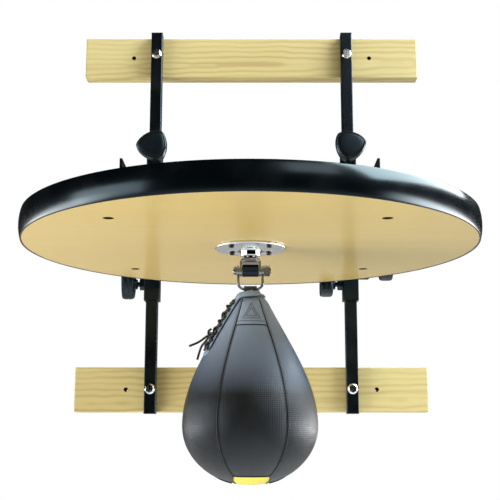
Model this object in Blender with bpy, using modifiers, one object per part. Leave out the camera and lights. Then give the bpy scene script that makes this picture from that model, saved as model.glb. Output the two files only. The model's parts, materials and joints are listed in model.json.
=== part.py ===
"""A wall-hung speed bag platform, with its swivel and speed bag.

Frame: metres, +Z up, +Y into the wall, +X to the right of someone who faces the wall.
The origin is the middle of the upper wall board's back face, so all of it lies at Y < 0.
"""

import math

import bmesh
import bpy
from mathutils import Matrix, Vector
from mathutils.geometry import interpolate_bezier

MM = 0.001
X_AXIS = Vector((1, 0, 0))
Y_AXIS = Vector((0, 1, 0))
Z_AXIS = Vector((0, 0, 1))
GAP = 0.3 * MM  # between faces that touch on the real object
SIDES = (("left", -1), ("right", 1))
HEIGHTS = ("upper", "lower")

# Wall frame: two boards screwed to studs at the usual 16 inch spacing, and two uprights.
BOARD_LENGTH = 573 * MM
BOARD_HEIGHT = 72 * MM
BOARD_THICKNESS = 25 * MM
BOARD_SPACING = 569 * MM
BOARD_ROUNDING = 2 * MM
STUD_SPACING = 406.4 * MM
STUD_HOLE_RADIUS = 3.6 * MM  # for a 1/4 inch lag screw
STUD_HOLE_DEPTH = 18 * MM  # from the front; a thin pilot goes on to the back
STUD_PILOT_RADIUS = 1.25 * MM
UPRIGHT_X = 162.4 * MM
UPRIGHT_SIDE = 19 * MM
UPRIGHT_WALL = 2 * MM
UPRIGHT_OVERHANG = 3 * MM
TUBE_ROUNDING = 1.5 * MM
CAP_FLANGE = 2 * MM
CAP_PLUG = 9 * MM
UPRIGHT_Y = -(BOARD_THICKNESS + GAP + UPRIGHT_SIDE / 2)
UPRIGHT_TOP = BOARD_HEIGHT / 2 + UPRIGHT_OVERHANG
UPRIGHT_BOTTOM = -BOARD_SPACING - UPRIGHT_TOP

# Upright bolts: M8 hex flange bolts into tee nuts let into the backs of the boards.
BOLT_RADIUS = 3.9 * MM
BOLT_CLEARANCE = 4.3 * MM
BOLT_FLANGE_RADIUS = 8.3 * MM
BOLT_FLANGE = 2 * MM
BOLT_HEX = 12.5 * MM
BOLT_HEX_HEIGHT = 5.5 * MM
TEE_BARREL_RADIUS = 5.3 * MM
TEE_BARREL_LENGTH = 10 * MM
TEE_FLANGE_RADIUS = 11 * MM
TEE_FLANGE = 1.6 * MM
TEE_RECESS = 2.3 * MM

# Platform: a round board with a bulged edge band, whose barb sits in a groove.
PLATFORM_Y = -343 * MM
PLATFORM_Z = -398.8 * MM
PLATFORM_RADIUS = 304.8 * MM
PLATFORM_THICKNESS = 34 * MM
BAND_THICKNESS = 3 * MM
BAND_BULGE = 2.2 * MM
BARB_DEPTH = 9 * MM
BARB_HALF_HEIGHT = 1.2 * MM
PLATFORM_STEPS = 64
CENTRE = Vector((0, PLATFORM_Y, PLATFORM_Z))

# Sleeves, angle-iron arms and braces of the carriage that slides on the uprights.
SLEEVE_SIDE = 25.4 * MM
SLEEVE_WALL = 2.1 * MM
LOWER_SLEEVE = (PLATFORM_Z - 27 * MM, PLATFORM_Z + 72 * MM)
UPPER_SLEEVE = (PLATFORM_Z + 168 * MM, PLATFORM_Z + 243 * MM)
SLEEVE_FRONT = UPRIGHT_Y - SLEEVE_SIDE / 2
ARM_LEG = 35 * MM
ARM_THICKNESS = 3 * MM
ARM_FRONT = PLATFORM_Y - 187 * MM
ARM_INNER_X = UPRIGHT_X - SLEEVE_SIDE / 2
ARM_Z = PLATFORM_Z + PLATFORM_THICKNESS + GAP
WELD_OVERLAP = 0.6 * MM
BRACE_SIDE = 16 * MM
BRACE_WALL = 1.6 * MM
BRACE_BOTTOM = Vector((UPRIGHT_X, PLATFORM_Y - 100 * MM, PLATFORM_Z + 54 * MM))
BRACE_TOP = Vector((UPRIGHT_X, SLEEVE_FRONT + 1 * MM, PLATFORM_Z + 181 * MM))
BRACE_TAIL = 10 * MM
BRACE_BOLT_RADIUS = 3 * MM
BRACE_BOLT_HOLE = 3.4 * MM

# Platform bolts: M6 socket cap screws sunk into the underside, into nuts on the arms.
# The holes are drilled by hand, so each one is a little nearer or further than its pair.
PLATFORM_BOLT_X = {
    ("front", "left"): -166 * MM,
    ("front", "right"): 161.7 * MM,
    ("rear", "left"): -173 * MM,
    ("rear", "right"): 167.8 * MM,
}
PLATFORM_BOLT_Y = {"front": PLATFORM_Y - 174 * MM, "rear": PLATFORM_Y + 161 * MM}
PLATFORM_BOLT_RADIUS = 3 * MM
PLATFORM_BOLT_HOLE = 3.4 * MM
SINK_RADIUS = 6.7 * MM
SINK_DEPTH = 8 * MM
SCREW_HEAD_RADIUS = 5.3 * MM
SCREW_HEAD = 5.6 * MM
SOCKET_HEX = 5 * MM
ARM_NUT_HEX = 10 * MM
ARM_NUT = 5 * MM

# Clamp knobs: a rounded three-lobed knob on a stud that presses on the upright.
KNOB_MEAN_RADIUS = 22.6 * MM
SMALL_KNOB_MEAN_RADIUS = 18 * MM  # beside the platform's edge, where there is less room
LOBE_SHARE = 0.097  # how far a lobe stands out, over the mean radius
KNOB_THICKNESS = 21 * MM
KNOB_ROUNDING = 4.5 * MM
KNOB_SEGMENTS = 24
KNOB_BORE = 14 * MM
STUD_RADIUS = 4 * MM
STUD_CLEARANCE = 4.4 * MM
WELD_NUT_HEX = 17 * MM
WELD_NUT = 8 * MM
KNOB_STANDOFF = 13 * MM  # from the sleeve's face to the knob's back
LEFT_CLAMP_Y = UPRIGHT_Y + 2 * MM
LEFT_CLAMP_Z = PLATFORM_Z + 1 * MM
RIGHT_CLAMP_Y = UPRIGHT_Y + 4 * MM
RIGHT_CLAMP_Z = PLATFORM_Z + 24 * MM
FRONT_CLAMP_Z = PLATFORM_Z + 226.5 * MM
CLAMP_BLOCK = Vector((20 * MM, 14 * MM, 28 * MM))
BLOCK_STANDOFF = 36 * MM
# How each knob was left when it was last tightened, about its own axis, in degrees.
FRONT_LOBES = {"left": 60, "right": 15}
LEFT_LOBES = {"left": 30, "right": 90}
RIGHT_LOBE = 90

# Swivel: a screwed flange with a hub, and a clevis that turns in it.
FLANGE_RADIUS = 47.5 * MM
FLANGE_THICKNESS = 3 * MM
HUB_RADIUS = 13 * MM
HUB_BOTTOM = -13 * MM
HUB_LIP = 3 * MM
HUB_BORE = 10.4 * MM
LIP_BORE = 5.8 * MM
SCREW_SPREAD = (25 * MM, 26 * MM)
FLANGE_SCREW_RADIUS = 1.7 * MM
FLANGE_SCREW_HOLE = 2.3 * MM
FLANGE_SCREW_HEAD_RADIUS = 3.9 * MM
FLANGE_SCREW_HEAD = 2 * MM
FLANGE_SCREW_LENGTH = 18 * MM
PIVOT_Z = -31.6 * MM
EAR_INSIDE = 11.4 * MM
EAR_OUTSIDE = 14 * MM
EAR_RADIUS = 8 * MM
CROWN_TOP = -13.5 * MM
CROWN_BOTTOM = -21.5 * MM
ROLLER_RADIUS = 8.4 * MM
CROSS_HEAD = 5 * MM
CROSS_HEAD_RADIUS = 6.2 * MM
CROSS_NUT = 7.5 * MM
CROSS_NUT_HEX = 13 * MM

# Shackle: a round wire bow whose eyes hang on the cross bolt outside the clevis.
WIRE_RADIUS = 1.8 * MM
EYE_RADIUS = 7 * MM
EYE_X = EAR_OUTSIDE + 0.4 * MM + WIRE_RADIUS
BAR_Z = -56.3 * MM
BOW_CORNER = 8 * MM

# Speed bag, as heights below the platform's underside and radii.
BAG_TOP = (12 * MM, -61 * MM)
BAG_SHOULDER = (34 * MM, -95 * MM)
BAG_BELLY = (88 * MM, -235 * MM)
BAG_BOTTOM = -310.5 * MM
COVER_THICKNESS = 2 * MM
BLADDER_INSET = 4 * MM
BLADDER_THICKNESS = 1.2 * MM
STRAP_WIDTH = 18 * MM
STRAP_THICKNESS = 2 * MM
STRAP_BOTTOM = -77 * MM
LACE_RADIUS = 1.5 * MM
LACE_TOP = -78 * MM
LACE_BOTTOM = -138 * MM
LACE_ROWS = 7
LACE_HALF_WIDTH = 7 * MM
LACE_TURN = math.radians(16)  # the laced seam, from the left side towards the front
# Routes of the two free lace ends, from the lacing outwards, relative to CENTRE.
LACE_TAILS = {
    "lace_tail_long": (
        (-52.5, -1.8, -117),
        (-56, -2.2, -118.8),
        (-60, -2.6, -121.5),
        (-64.5, -3, -125),
        (-71, -4.5, -129),
        (-80, -8, -133),
    ),
    "lace_tail_short": (
        (-54.8, -14.8, -123),
        (-58.6, -12.6, -127.5),
        (-63.8, -8.5, -133.5),
        (-67, -5, -141.5),
        (-69.5, -4, -150.5),
    ),
}


def clear_scene():
    for obj in list(bpy.data.objects):
        bpy.data.objects.remove(obj, do_unlink=True)


def new_collection(name):
    collection = bpy.data.collections.new(name)
    bpy.context.scene.collection.children.link(collection)
    return collection


clear_scene()
PARTS = new_collection("speed_bag_platform")
HELPERS = new_collection("cutters")


def material(name, colour, roughness, metallic=0.0):
    made = bpy.data.materials.new(name)
    made.use_nodes = True
    shader = made.node_tree.nodes["Principled BSDF"]
    shader.inputs["Base Color"].default_value = (*colour, 1)
    shader.inputs["Roughness"].default_value = roughness
    shader.inputs["Metallic"].default_value = metallic
    return made


PINE = material("pine_board", (0.78, 0.66, 0.40), 0.55)
VARNISHED = material("varnished_board", (0.72, 0.62, 0.36), 0.3)
BAND = material("edge_band", (0.012, 0.012, 0.013), 0.25)
BLACK_STEEL = material("black_steel", (0.014, 0.015, 0.016), 0.32)
BLACK_PLASTIC = material("black_plastic", (0.018, 0.018, 0.019), 0.4)
BRIGHT_STEEL = material("bright_steel", (0.62, 0.63, 0.64), 0.25, 1.0)
DARK_STEEL = material("dark_steel", (0.06, 0.06, 0.065), 0.4, 1.0)
CHROME = material("chrome", (0.82, 0.84, 0.85), 0.08, 1.0)
LEATHER = material("leather", (0.05, 0.052, 0.056), 0.42)
RUBBER = material("rubber", (0.03, 0.03, 0.03), 0.7)


# Building blocks. A piece with no material is a helper that cuts or joins.


def add(name, mesh, finish=None):
    """An object that holds the mesh: a part if it has a finish, and otherwise a helper."""
    obj = bpy.data.objects.new(name if finish else f"helper_{name}", mesh)
    (PARTS if finish else HELPERS).objects.link(obj)
    if finish:
        mesh.materials.append(finish)
    else:
        obj.hide_render = True
        obj.display_type = "WIRE"
    return obj


def mesh_of(name, bm):
    mesh = bpy.data.meshes.new(name)
    bmesh.ops.recalc_face_normals(bm, faces=bm.faces)
    bm.to_mesh(mesh)
    bm.free()
    return mesh


def aim(obj, centre, axis):
    """Puts the object's own origin at centre and its own Z along axis."""
    obj.location = centre
    obj.rotation_euler = Vector(axis).to_track_quat("Z", "Y").to_euler()
    return obj


def box(name, low, high, finish=None, rounding=0.0, steps=2):
    low, high = Vector(low), Vector(high)
    bm = bmesh.new()
    bmesh.ops.create_cube(bm, size=1, matrix=Matrix.Diagonal((*(high - low), 1)))
    obj = add(name, mesh_of(name, bm), finish)
    obj.location = (low + high) / 2
    if rounding:
        round_edges(obj, rounding, steps)
    return obj


def cylinder(name, centre, axis, radius, length, finish=None, segments=16):
    """A cylinder centred on centre, or a prism with few segments."""
    bm = bmesh.new()
    bmesh.ops.create_cone(
        bm,
        cap_ends=True,
        segments=segments,
        radius1=radius,
        radius2=radius,
        depth=length,
    )
    return aim(add(name, mesh_of(name, bm), finish), centre, axis)


def hexagon(name, centre, axis, across_flats, length, finish=None):
    return cylinder(name, centre, axis, across_flats / math.sqrt(3), length, finish, segments=6)


def turned(name, outline, origin, axis, finish=None, steps=16, closed=False):
    """A turned piece: (radius, height) points that run down its outer side, about axis."""
    mesh = bpy.data.meshes.new(name)
    points = [(radius, 0, height) for radius, height in outline]
    edges = [(i, i + 1) for i in range(len(points) - 1)]
    if closed:
        edges.append((len(points) - 1, 0))
    mesh.from_pydata(points, edges, [])
    obj = aim(add(name, mesh, finish), origin, axis)
    screw = obj.modifiers.new("turn", "SCREW")
    screw.steps = steps
    screw.render_steps = steps
    screw.use_merge_vertices = True
    screw.merge_threshold = 0.01 * MM
    return obj


def flat_outline(name, outline, origin, axis, thickness, finish=None):
    """A plate cut to the outline, centred on origin, with its thickness along axis."""
    bm = bmesh.new()
    ring = [bm.verts.new((x, y, -thickness / 2)) for x, y in outline]
    face = bm.faces.new(ring)
    grown = bmesh.ops.extrude_face_region(bm, geom=[face])
    top = [v for v in grown["geom"] if isinstance(v, bmesh.types.BMVert)]
    bmesh.ops.translate(bm, verts=top, vec=(0, 0, thickness))
    return aim(add(name, mesh_of(name, bm), finish), origin, axis)


def round_edges(obj, width, segments=2):
    bevel = obj.modifiers.new("rounded_edges", "BEVEL")
    bevel.width = width
    bevel.segments = segments
    bevel.limit_method = "ANGLE"
    bevel.angle_limit = math.radians(35)
    return obj


def boolean(obj, other, operation):
    modifier = obj.modifiers.new(operation.lower(), "BOOLEAN")
    modifier.operation = operation
    modifier.object = other


def cut(obj, *cutters):
    for cutter in cutters:
        boolean(obj, cutter, "DIFFERENCE")


def join(obj, *pieces):
    for piece in pieces:
        boolean(obj, piece, "UNION")


def smooth(*objects):
    for obj in objects:
        obj.data.shade_smooth()
        obj.data.set_sharp_from_angle(angle=math.radians(32))


def joint_empty(name, location, parent=None):
    empty = bpy.data.objects.new(name, None)
    empty.empty_display_size = 30 * MM
    PARTS.objects.link(empty)
    empty.location = location
    if parent:
        carry(parent, empty)
    return empty


def carry(parent, *children):
    """The children keep their places and move with the parent from now on."""
    bpy.context.view_layer.update()
    for child in children:
        child.parent = parent
        child.matrix_parent_inverse = parent.matrix_world.inverted()
    bpy.context.view_layer.update()


def arc(centre, radius, start, end, steps):
    """Points on an arc, from the start angle to the end angle, in degrees."""
    angles = [math.radians(start + (end - start) * i / steps) for i in range(steps + 1)]
    return [
        (centre[0] + radius * math.cos(a), centre[1] + radius * math.sin(a)) for a in angles
    ]


# Wall frame


def wall_board(height, z):
    board = box(
        f"wall_board_{height}",
        (-BOARD_LENGTH / 2, -BOARD_THICKNESS, z - BOARD_HEIGHT / 2),
        (BOARD_LENGTH / 2, 0, z + BOARD_HEIGHT / 2),
        PINE,
        BOARD_ROUNDING,
    )
    middle_y = -BOARD_THICKNESS / 2
    for side, sign in SIDES:
        stud = Vector((sign * STUD_SPACING / 2, middle_y, z))
        mouth = stud - Y_AXIS * BOARD_THICKNESS / 2
        bolt = Vector((sign * UPRIGHT_X, middle_y, z))
        hole = f"{height}_{side}"
        through = BOARD_THICKNESS * 1.4
        barrel = TEE_BARREL_LENGTH + TEE_FLANGE + 3 * GAP
        cut(
            board,
            cylinder(f"stud_pilot_{hole}", stud, Y_AXIS, STUD_PILOT_RADIUS, through),
            cylinder(f"stud_hole_{hole}", mouth, Y_AXIS, STUD_HOLE_RADIUS, 2 * STUD_HOLE_DEPTH),
            cylinder(f"bolt_hole_{hole}", bolt, Y_AXIS, BOLT_CLEARANCE, through),
            cylinder(
                f"barrel_hole_{hole}",
                (bolt.x, -barrel / 2, z),
                Y_AXIS,
                TEE_BARREL_RADIUS + GAP,
                barrel,
            ),
            cylinder(
                f"recess_{hole}",
                (bolt.x, 0, z),
                Y_AXIS,
                TEE_FLANGE_RADIUS + GAP,
                2 * TEE_RECESS,
            ),
        )
    return board


def upright(side, x):
    half = UPRIGHT_SIDE / 2
    bore = half - UPRIGHT_WALL
    bottom, top = UPRIGHT_BOTTOM + CAP_FLANGE + GAP, UPRIGHT_TOP - CAP_FLANGE - GAP
    tube = square_tube(f"upright_{side}", x, UPRIGHT_Y, half, bore, bottom, top, BLACK_STEEL)
    for height, z in zip(HEIGHTS, (0, -BOARD_SPACING)):
        cut(
            tube,
            cylinder(
                f"upright_hole_{side}_{height}",
                (x, UPRIGHT_Y, z),
                Y_AXIS,
                BOLT_CLEARANCE,
                2 * UPRIGHT_SIDE,
            ),
        )
    return tube


def square_tube(name, x, y, half, bore, bottom, top, finish):
    """A rolled square tube that stands on Z, with rounded long edges."""
    tube = box(name, (x - half, y - half, bottom), (x + half, y + half, top), finish)
    bevel_long_edges(tube, TUBE_ROUNDING)
    inside = box(
        f"{name}_bore",
        (x - bore, y - bore, bottom - 1 * MM),
        (x + bore, y + bore, top + 1 * MM),
    )
    cut(tube, inside)
    return tube


def bevel_long_edges(obj, width):
    """Rounds only the edges along the object's own Z."""
    bm = bmesh.new()
    bm.from_mesh(obj.data)
    long_edges = [
        e for e in bm.edges if abs((e.verts[0].co - e.verts[1].co).normalized().z) > 0.99
    ]
    bmesh.ops.bevel(
        bm, geom=long_edges, offset=width, segments=3, profile=0.5, affect="EDGES"
    )
    bm.to_mesh(obj.data)
    bm.free()


def upright_cap(height, side, x):
    """A plastic plug with a square flange, pushed into the tube's end."""
    up = 1 if height == "upper" else -1
    end = UPRIGHT_TOP if up > 0 else UPRIGHT_BOTTOM
    half = UPRIGHT_SIDE / 2
    plug = half - UPRIGHT_WALL - GAP
    levels = sorted((end, end - up * CAP_FLANGE))
    cap = box(
        f"upright_cap_{height}_{side}",
        (x - half, UPRIGHT_Y - half, levels[0]),
        (x + half, UPRIGHT_Y + half, levels[1]),
        BLACK_PLASTIC,
    )
    levels = sorted((end - up * CAP_FLANGE / 2, end - up * (CAP_FLANGE + CAP_PLUG)))
    join(
        cap,
        box(
            f"plug_{height}_{side}",
            (x - plug, UPRIGHT_Y - plug, levels[0]),
            (x + plug, UPRIGHT_Y + plug, levels[1]),
        ),
    )
    return cap


def upright_bolt(height, side, x, z):
    """A hex flange bolt, its head at the front and its end in the tee nut."""
    seat = UPRIGHT_Y - UPRIGHT_SIDE / 2 - GAP
    tip = -TEE_RECESS
    outline = [
        (0, 0.2 * MM),
        (BOLT_FLANGE_RADIUS - 2.2 * MM, 0.2 * MM),
        (BOLT_FLANGE_RADIUS, -BOLT_FLANGE + 0.6 * MM),
        (BOLT_FLANGE_RADIUS, -BOLT_FLANGE),
        (BOLT_RADIUS, -BOLT_FLANGE),
        (BOLT_RADIUS, seat - BOLT_FLANGE - tip),
        (0, seat - BOLT_FLANGE - tip),
    ]
    top = Vector((x, seat - BOLT_FLANGE, z))
    name = f"upright_bolt_{height}_{side}"
    bolt = turned(name, outline, top, -Y_AXIS, BRIGHT_STEEL)
    smooth(bolt)
    head = hexagon(
        f"head_{name}", top - Y_AXIS * BOLT_HEX_HEIGHT / 2, Y_AXIS, BOLT_HEX, BOLT_HEX_HEIGHT
    )
    join(bolt, round_edges(head, 0.5 * MM, 1))
    return bolt


def tee_nut(height, side, x, z):
    outline = [
        (TEE_FLANGE_RADIUS, TEE_FLANGE),
        (TEE_FLANGE_RADIUS, 0),
        (TEE_BARREL_RADIUS, 0),
        (TEE_BARREL_RADIUS, -TEE_BARREL_LENGTH),
        (BOLT_RADIUS + GAP, -TEE_BARREL_LENGTH),
        (BOLT_RADIUS + GAP, TEE_FLANGE),
    ]
    origin = (x, -TEE_RECESS + GAP, z)
    nut = turned(f"tee_nut_{height}_{side}", outline, origin, Y_AXIS, BRIGHT_STEEL, closed=True)
    smooth(nut)


def wall_frame():
    for height, z in zip(HEIGHTS, (0, -BOARD_SPACING)):
        wall_board(height, z)
        for side, sign in SIDES:
            upright_bolt(height, side, sign * UPRIGHT_X, z)
            tee_nut(height, side, sign * UPRIGHT_X, z)
            upright_cap(height, side, sign * UPRIGHT_X)
    for side, sign in SIDES:
        upright(side, sign * UPRIGHT_X)


# Platform


def platform_board():
    """The round board, with the edge band's groove and every hole drilled into it."""
    radius = PLATFORM_RADIUS - BAND_THICKNESS
    middle = PLATFORM_THICKNESS / 2
    groove = BARB_HALF_HEIGHT + GAP
    outline = [
        (0, PLATFORM_THICKNESS),
        (radius, PLATFORM_THICKNESS),
        (radius, middle + groove),
        (radius - BARB_DEPTH - GAP, middle + groove),
        (radius - BARB_DEPTH - GAP, middle - groove),
        (radius, middle - groove),
        (radius, 0),
        (0, 0),
    ]
    board = turned("platform_board", outline, CENTRE, Z_AXIS, VARNISHED, PLATFORM_STEPS)
    smooth(board)
    for (end, side), x in PLATFORM_BOLT_X.items():
        spot = Vector((x, PLATFORM_BOLT_Y[end], PLATFORM_Z))
        cut(
            board,
            cylinder(f"sink_{end}_{side}", spot, Z_AXIS, SINK_RADIUS, 2 * SINK_DEPTH),
            cylinder(f"bolt_way_{end}_{side}", spot, Z_AXIS, PLATFORM_BOLT_HOLE, 120 * MM),
        )
    for number, spot in enumerate(flange_screw_places()):
        pilot = FLANGE_SCREW_LENGTH + 1 * MM
        cut(
            board,
            cylinder(
                f"pilot_{number}", spot, Z_AXIS, FLANGE_SCREW_RADIUS + GAP, 2 * pilot, None, 12
            ),
        )
    return board


def platform_edge_band():
    """The bulged edge band: an arc outside, and a barb inside that sits in the groove."""
    inner = PLATFORM_RADIUS - BAND_THICKNESS + GAP
    edge = PLATFORM_RADIUS - BAND_BULGE
    half = PLATFORM_THICKNESS / 2
    arc_radius = (half**2 + BAND_BULGE**2) / (2 * BAND_BULGE)
    spread = math.degrees(math.asin(half / arc_radius))
    middle = (edge + BAND_BULGE - arc_radius, half)
    barb = inner - BARB_DEPTH
    outline = arc(middle, arc_radius, spread, -spread, 4) + [
        (inner, 0),
        (inner, half - BARB_HALF_HEIGHT),
        (barb, half - BARB_HALF_HEIGHT),
        (barb, half + BARB_HALF_HEIGHT),
        (inner, half + BARB_HALF_HEIGHT),
        (inner, PLATFORM_THICKNESS),
    ]
    band = turned(
        "platform_edge_band", outline, CENTRE, Z_AXIS, BAND, PLATFORM_STEPS, closed=True
    )
    smooth(band)
    return band


def platform_bolt(end, side, x, y):
    """A socket cap screw sunk in the underside, up through the board and the arm."""
    head_bottom = 2 * MM
    name = f"platform_bolt_{end}_{side}"
    length = PLATFORM_THICKNESS + ARM_THICKNESS + ARM_NUT + 1 * MM
    outline = [
        (0, length),
        (PLATFORM_BOLT_RADIUS, length),
        (PLATFORM_BOLT_RADIUS, head_bottom + SCREW_HEAD),
        (SCREW_HEAD_RADIUS, head_bottom + SCREW_HEAD),
        (SCREW_HEAD_RADIUS, head_bottom + 0.5 * MM),
        (SCREW_HEAD_RADIUS - 0.5 * MM, head_bottom),
        (0, head_bottom),
    ]
    screw = turned(name, outline, (x, y, PLATFORM_Z), Z_AXIS, DARK_STEEL)
    smooth(screw)
    socket = hexagon(
        f"socket_{name}", (x, y, PLATFORM_Z + head_bottom), Z_AXIS, SOCKET_HEX, 6 * MM
    )
    cut(screw, socket)
    return screw


# Arms and braces of the carriage


def sleeve_bore(name, x, levels):
    half = SLEEVE_SIDE / 2 - SLEEVE_WALL
    return box(
        f"bore_{name}",
        (x - half, UPRIGHT_Y - half, levels[0] - 5 * MM),
        (x + half, UPRIGHT_Y + half, levels[1] + 5 * MM),
    )


def sleeve(name, x, levels, finish=None):
    half = SLEEVE_SIDE / 2
    block = box(
        name,
        (x - half, UPRIGHT_Y - half, levels[0]),
        (x + half, UPRIGHT_Y + half, levels[1]),
        finish,
    )
    bevel_long_edges(block, TUBE_ROUNDING)
    return block


def weld_nut(name, face, out):
    """A hex nut that stands on the sleeve's face and points along out."""
    length = WELD_NUT + WELD_OVERLAP
    return hexagon(name, face + out * (length / 2 - WELD_OVERLAP), out, WELD_NUT_HEX, length)


def stud_way(name, face, out):
    """The hole that a clamp's stud passes through, from the sleeve's inside outwards."""
    length = 40 * MM
    reach = SLEEVE_WALL + 1 * MM
    return cylinder(
        name, face + out * (length / 2 - reach), out, STUD_CLEARANCE, length,
    )


def arm(side, sign):
    """An angle-iron arm on the platform's top, welded to its lower sleeve."""
    x = sign * UPRIGHT_X
    name = f"arm_{side}"
    body = sleeve(name, x, LOWER_SLEEVE, BLACK_STEEL)
    inner_x, web_x = sign * ARM_INNER_X, sign * (ARM_INNER_X + ARM_THICKNESS)
    outer_x = sign * (ARM_INNER_X + ARM_LEG)
    rear = SLEEVE_FRONT + WELD_OVERLAP
    web = box(
        f"web_{name}",
        (min(inner_x, web_x), ARM_FRONT, ARM_Z),
        (max(inner_x, web_x), rear, ARM_Z + ARM_LEG),
    )
    foot = box(
        f"foot_{name}",
        (min(inner_x, outer_x), ARM_FRONT, ARM_Z),
        (max(inner_x, outer_x), rear, ARM_Z + ARM_THICKNESS),
    )
    join(body, web, foot)
    block_face = Vector((x + SLEEVE_SIDE / 2, RIGHT_CLAMP_Y, RIGHT_CLAMP_Z))
    block_low = block_face - Vector((WELD_OVERLAP, CLAMP_BLOCK.y / 2, CLAMP_BLOCK.z / 2))
    block_high = block_face + Vector((CLAMP_BLOCK.x, CLAMP_BLOCK.y / 2, CLAMP_BLOCK.z / 2))
    join(body, box(f"block_{name}", block_low, block_high, None, 2.5 * MM, 1))
    nut_face = Vector((x - SLEEVE_SIDE / 2, LEFT_CLAMP_Y, LEFT_CLAMP_Z))
    join(body, weld_nut(f"nut_{name}", nut_face, -X_AXIS))
    for end, y in PLATFORM_BOLT_Y.items():
        spot = Vector((PLATFORM_BOLT_X[end, side], y, ARM_Z + ARM_THICKNESS))
        height = ARM_NUT + WELD_OVERLAP
        lift = Z_AXIS * (ARM_NUT - WELD_OVERLAP) / 2
        join(body, hexagon(f"platform_nut_{name}", spot + lift, Z_AXIS, ARM_NUT_HEX, height))
        cut(
            body,
            cylinder(f"platform_way_{name}", spot, Z_AXIS, PLATFORM_BOLT_HOLE, 30 * MM),
        )
    pivot = Vector((inner_x, BRACE_BOTTOM.y, BRACE_BOTTOM.z))
    cut(
        body,
        cylinder(f"brace_way_{name}", pivot, X_AXIS, BRACE_BOLT_HOLE, 20 * MM),
        sleeve_bore(name, x, LOWER_SLEEVE),
        stud_way(f"left_way_{name}", nut_face, -X_AXIS),
        stud_way(f"right_way_{name}", block_face, X_AXIS),
    )
    return body


def brace(side, sign):
    """A square tube that climbs from the arm to the upper sleeve it is welded to."""
    x = sign * UPRIGHT_X
    name = f"brace_{side}"
    body = sleeve(name, x, UPPER_SLEEVE, BLACK_STEEL)
    bottom = Vector((x, BRACE_BOTTOM.y, BRACE_BOTTOM.z))
    top = Vector((x, BRACE_TOP.y, BRACE_TOP.z))
    run = (top - bottom).normalized()
    start = bottom - run * BRACE_TAIL
    length = (top - start).length
    half = BRACE_SIDE / 2
    inside = half - BRACE_WALL
    tube = box(f"tube_{name}", (-half, -half, -length / 2), (half, half, length / 2))
    bevel_long_edges(tube, TUBE_ROUNDING)
    aim(tube, (start + top) / 2, run)
    hollow = box(
        f"hollow_{name}", (-inside, -inside, -length / 2), (inside, inside, length / 2)
    )
    aim(hollow, (start + top) / 2 - run * 6 * MM, run)
    join(body, tube)
    face = Vector((x, SLEEVE_FRONT, FRONT_CLAMP_Z))
    join(body, weld_nut(f"nut_{name}", face, -Y_AXIS))
    cut(
        body,
        hollow,
        sleeve_bore(name, x, UPPER_SLEEVE),
        stud_way(f"front_way_{name}", face, -Y_AXIS),
        cylinder(f"bolt_way_{name}", bottom, X_AXIS, BRACE_BOLT_HOLE, 40 * MM),
    )
    return body


def brace_bolt(side, sign):
    """The bolt through the arm's web and the brace, with its head inside the arm."""
    name = f"brace_bolt_{side}"
    out = X_AXIS * sign
    seat = Vector((sign * (ARM_INNER_X - GAP), BRACE_BOTTOM.y, BRACE_BOTTOM.z))
    length = UPRIGHT_X + BRACE_SIDE / 2 - ARM_INNER_X + 2 * GAP + 8 * MM
    outline = [
        (0, length),
        (BRACE_BOLT_RADIUS, length),
        (BRACE_BOLT_RADIUS, -0.5 * MM),
        (0, -0.5 * MM),
    ]
    bolt = turned(name, outline, seat, out, BRIGHT_STEEL)
    smooth(bolt)
    join(bolt, hexagon(f"head_{name}", seat - out * 2 * MM, out, ARM_NUT_HEX, 4 * MM))
    return bolt


def brace_nut(side, sign):
    out = X_AXIS * sign
    face = Vector((sign * (UPRIGHT_X + BRACE_SIDE / 2 + GAP), BRACE_BOTTOM.y, BRACE_BOTTOM.z))
    centre = face + out * ARM_NUT / 2
    nut = hexagon(f"brace_nut_{side}", centre, out, ARM_NUT_HEX, ARM_NUT, BRIGHT_STEEL)
    bore = cylinder(f"bore_brace_nut_{side}", centre, out, BRACE_BOLT_RADIUS + GAP, 20 * MM)
    cut(nut, bore)
    return nut


# Clamps


def knob_outline(angle, mean_radius):
    """A rounded triangle, as the envelope of its tangents at each angle."""
    lobe = mean_radius * LOBE_SHARE
    reach = mean_radius + lobe * math.cos(3 * angle)
    slope = -3 * lobe * math.sin(3 * angle)
    x = reach * math.cos(angle) - slope * math.sin(angle)
    y = reach * math.sin(angle) + slope * math.cos(angle)
    return x, y


def clamp(name, face, out, standoff, lobe_angle, mean_radius=KNOB_MEAN_RADIUS):
    """One clamp: a stud through the sleeve's face, and a knob moulded on its end.

    lobe_angle turns the knob about its own Z, in degrees. Returns the stud's slide empty.
    """
    slide = joint_empty(f"{name}_slide", face)
    turn = joint_empty(f"{name}_turn", face + out * standoff, slide)
    inside = SLEEVE_SIDE / 2 - UPRIGHT_SIDE / 2 - GAP
    length = standoff + KNOB_BORE - 1 * MM + inside
    stud = cylinder(
        f"clamp_stud_{name}",
        face + out * (length / 2 - inside),
        out,
        STUD_RADIUS,
        length,
        BRIGHT_STEEL,
    )
    smooth(stud)
    centre = face + out * (standoff + KNOB_THICKNESS / 2)
    knob = cylinder(
        f"clamp_knob_{name}", centre, out, 1, KNOB_THICKNESS, BLACK_PLASTIC, KNOB_SEGMENTS
    )
    turn_lobes = Matrix.Rotation(math.radians(lobe_angle), 2)
    for vertex in knob.data.vertices:
        angle = math.atan2(vertex.co.y, vertex.co.x)
        vertex.co.xy = turn_lobes @ Vector(knob_outline(angle, mean_radius))
    smooth(knob)
    round_edges(knob, KNOB_ROUNDING, 2)
    bore_centre = face + out * standoff
    bore = cylinder(f"bore_{name}", bore_centre, out, STUD_RADIUS + GAP, 2 * KNOB_BORE)
    cut(knob, bore)
    carry(slide, stud)
    carry(turn, knob)
    return slide


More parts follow.
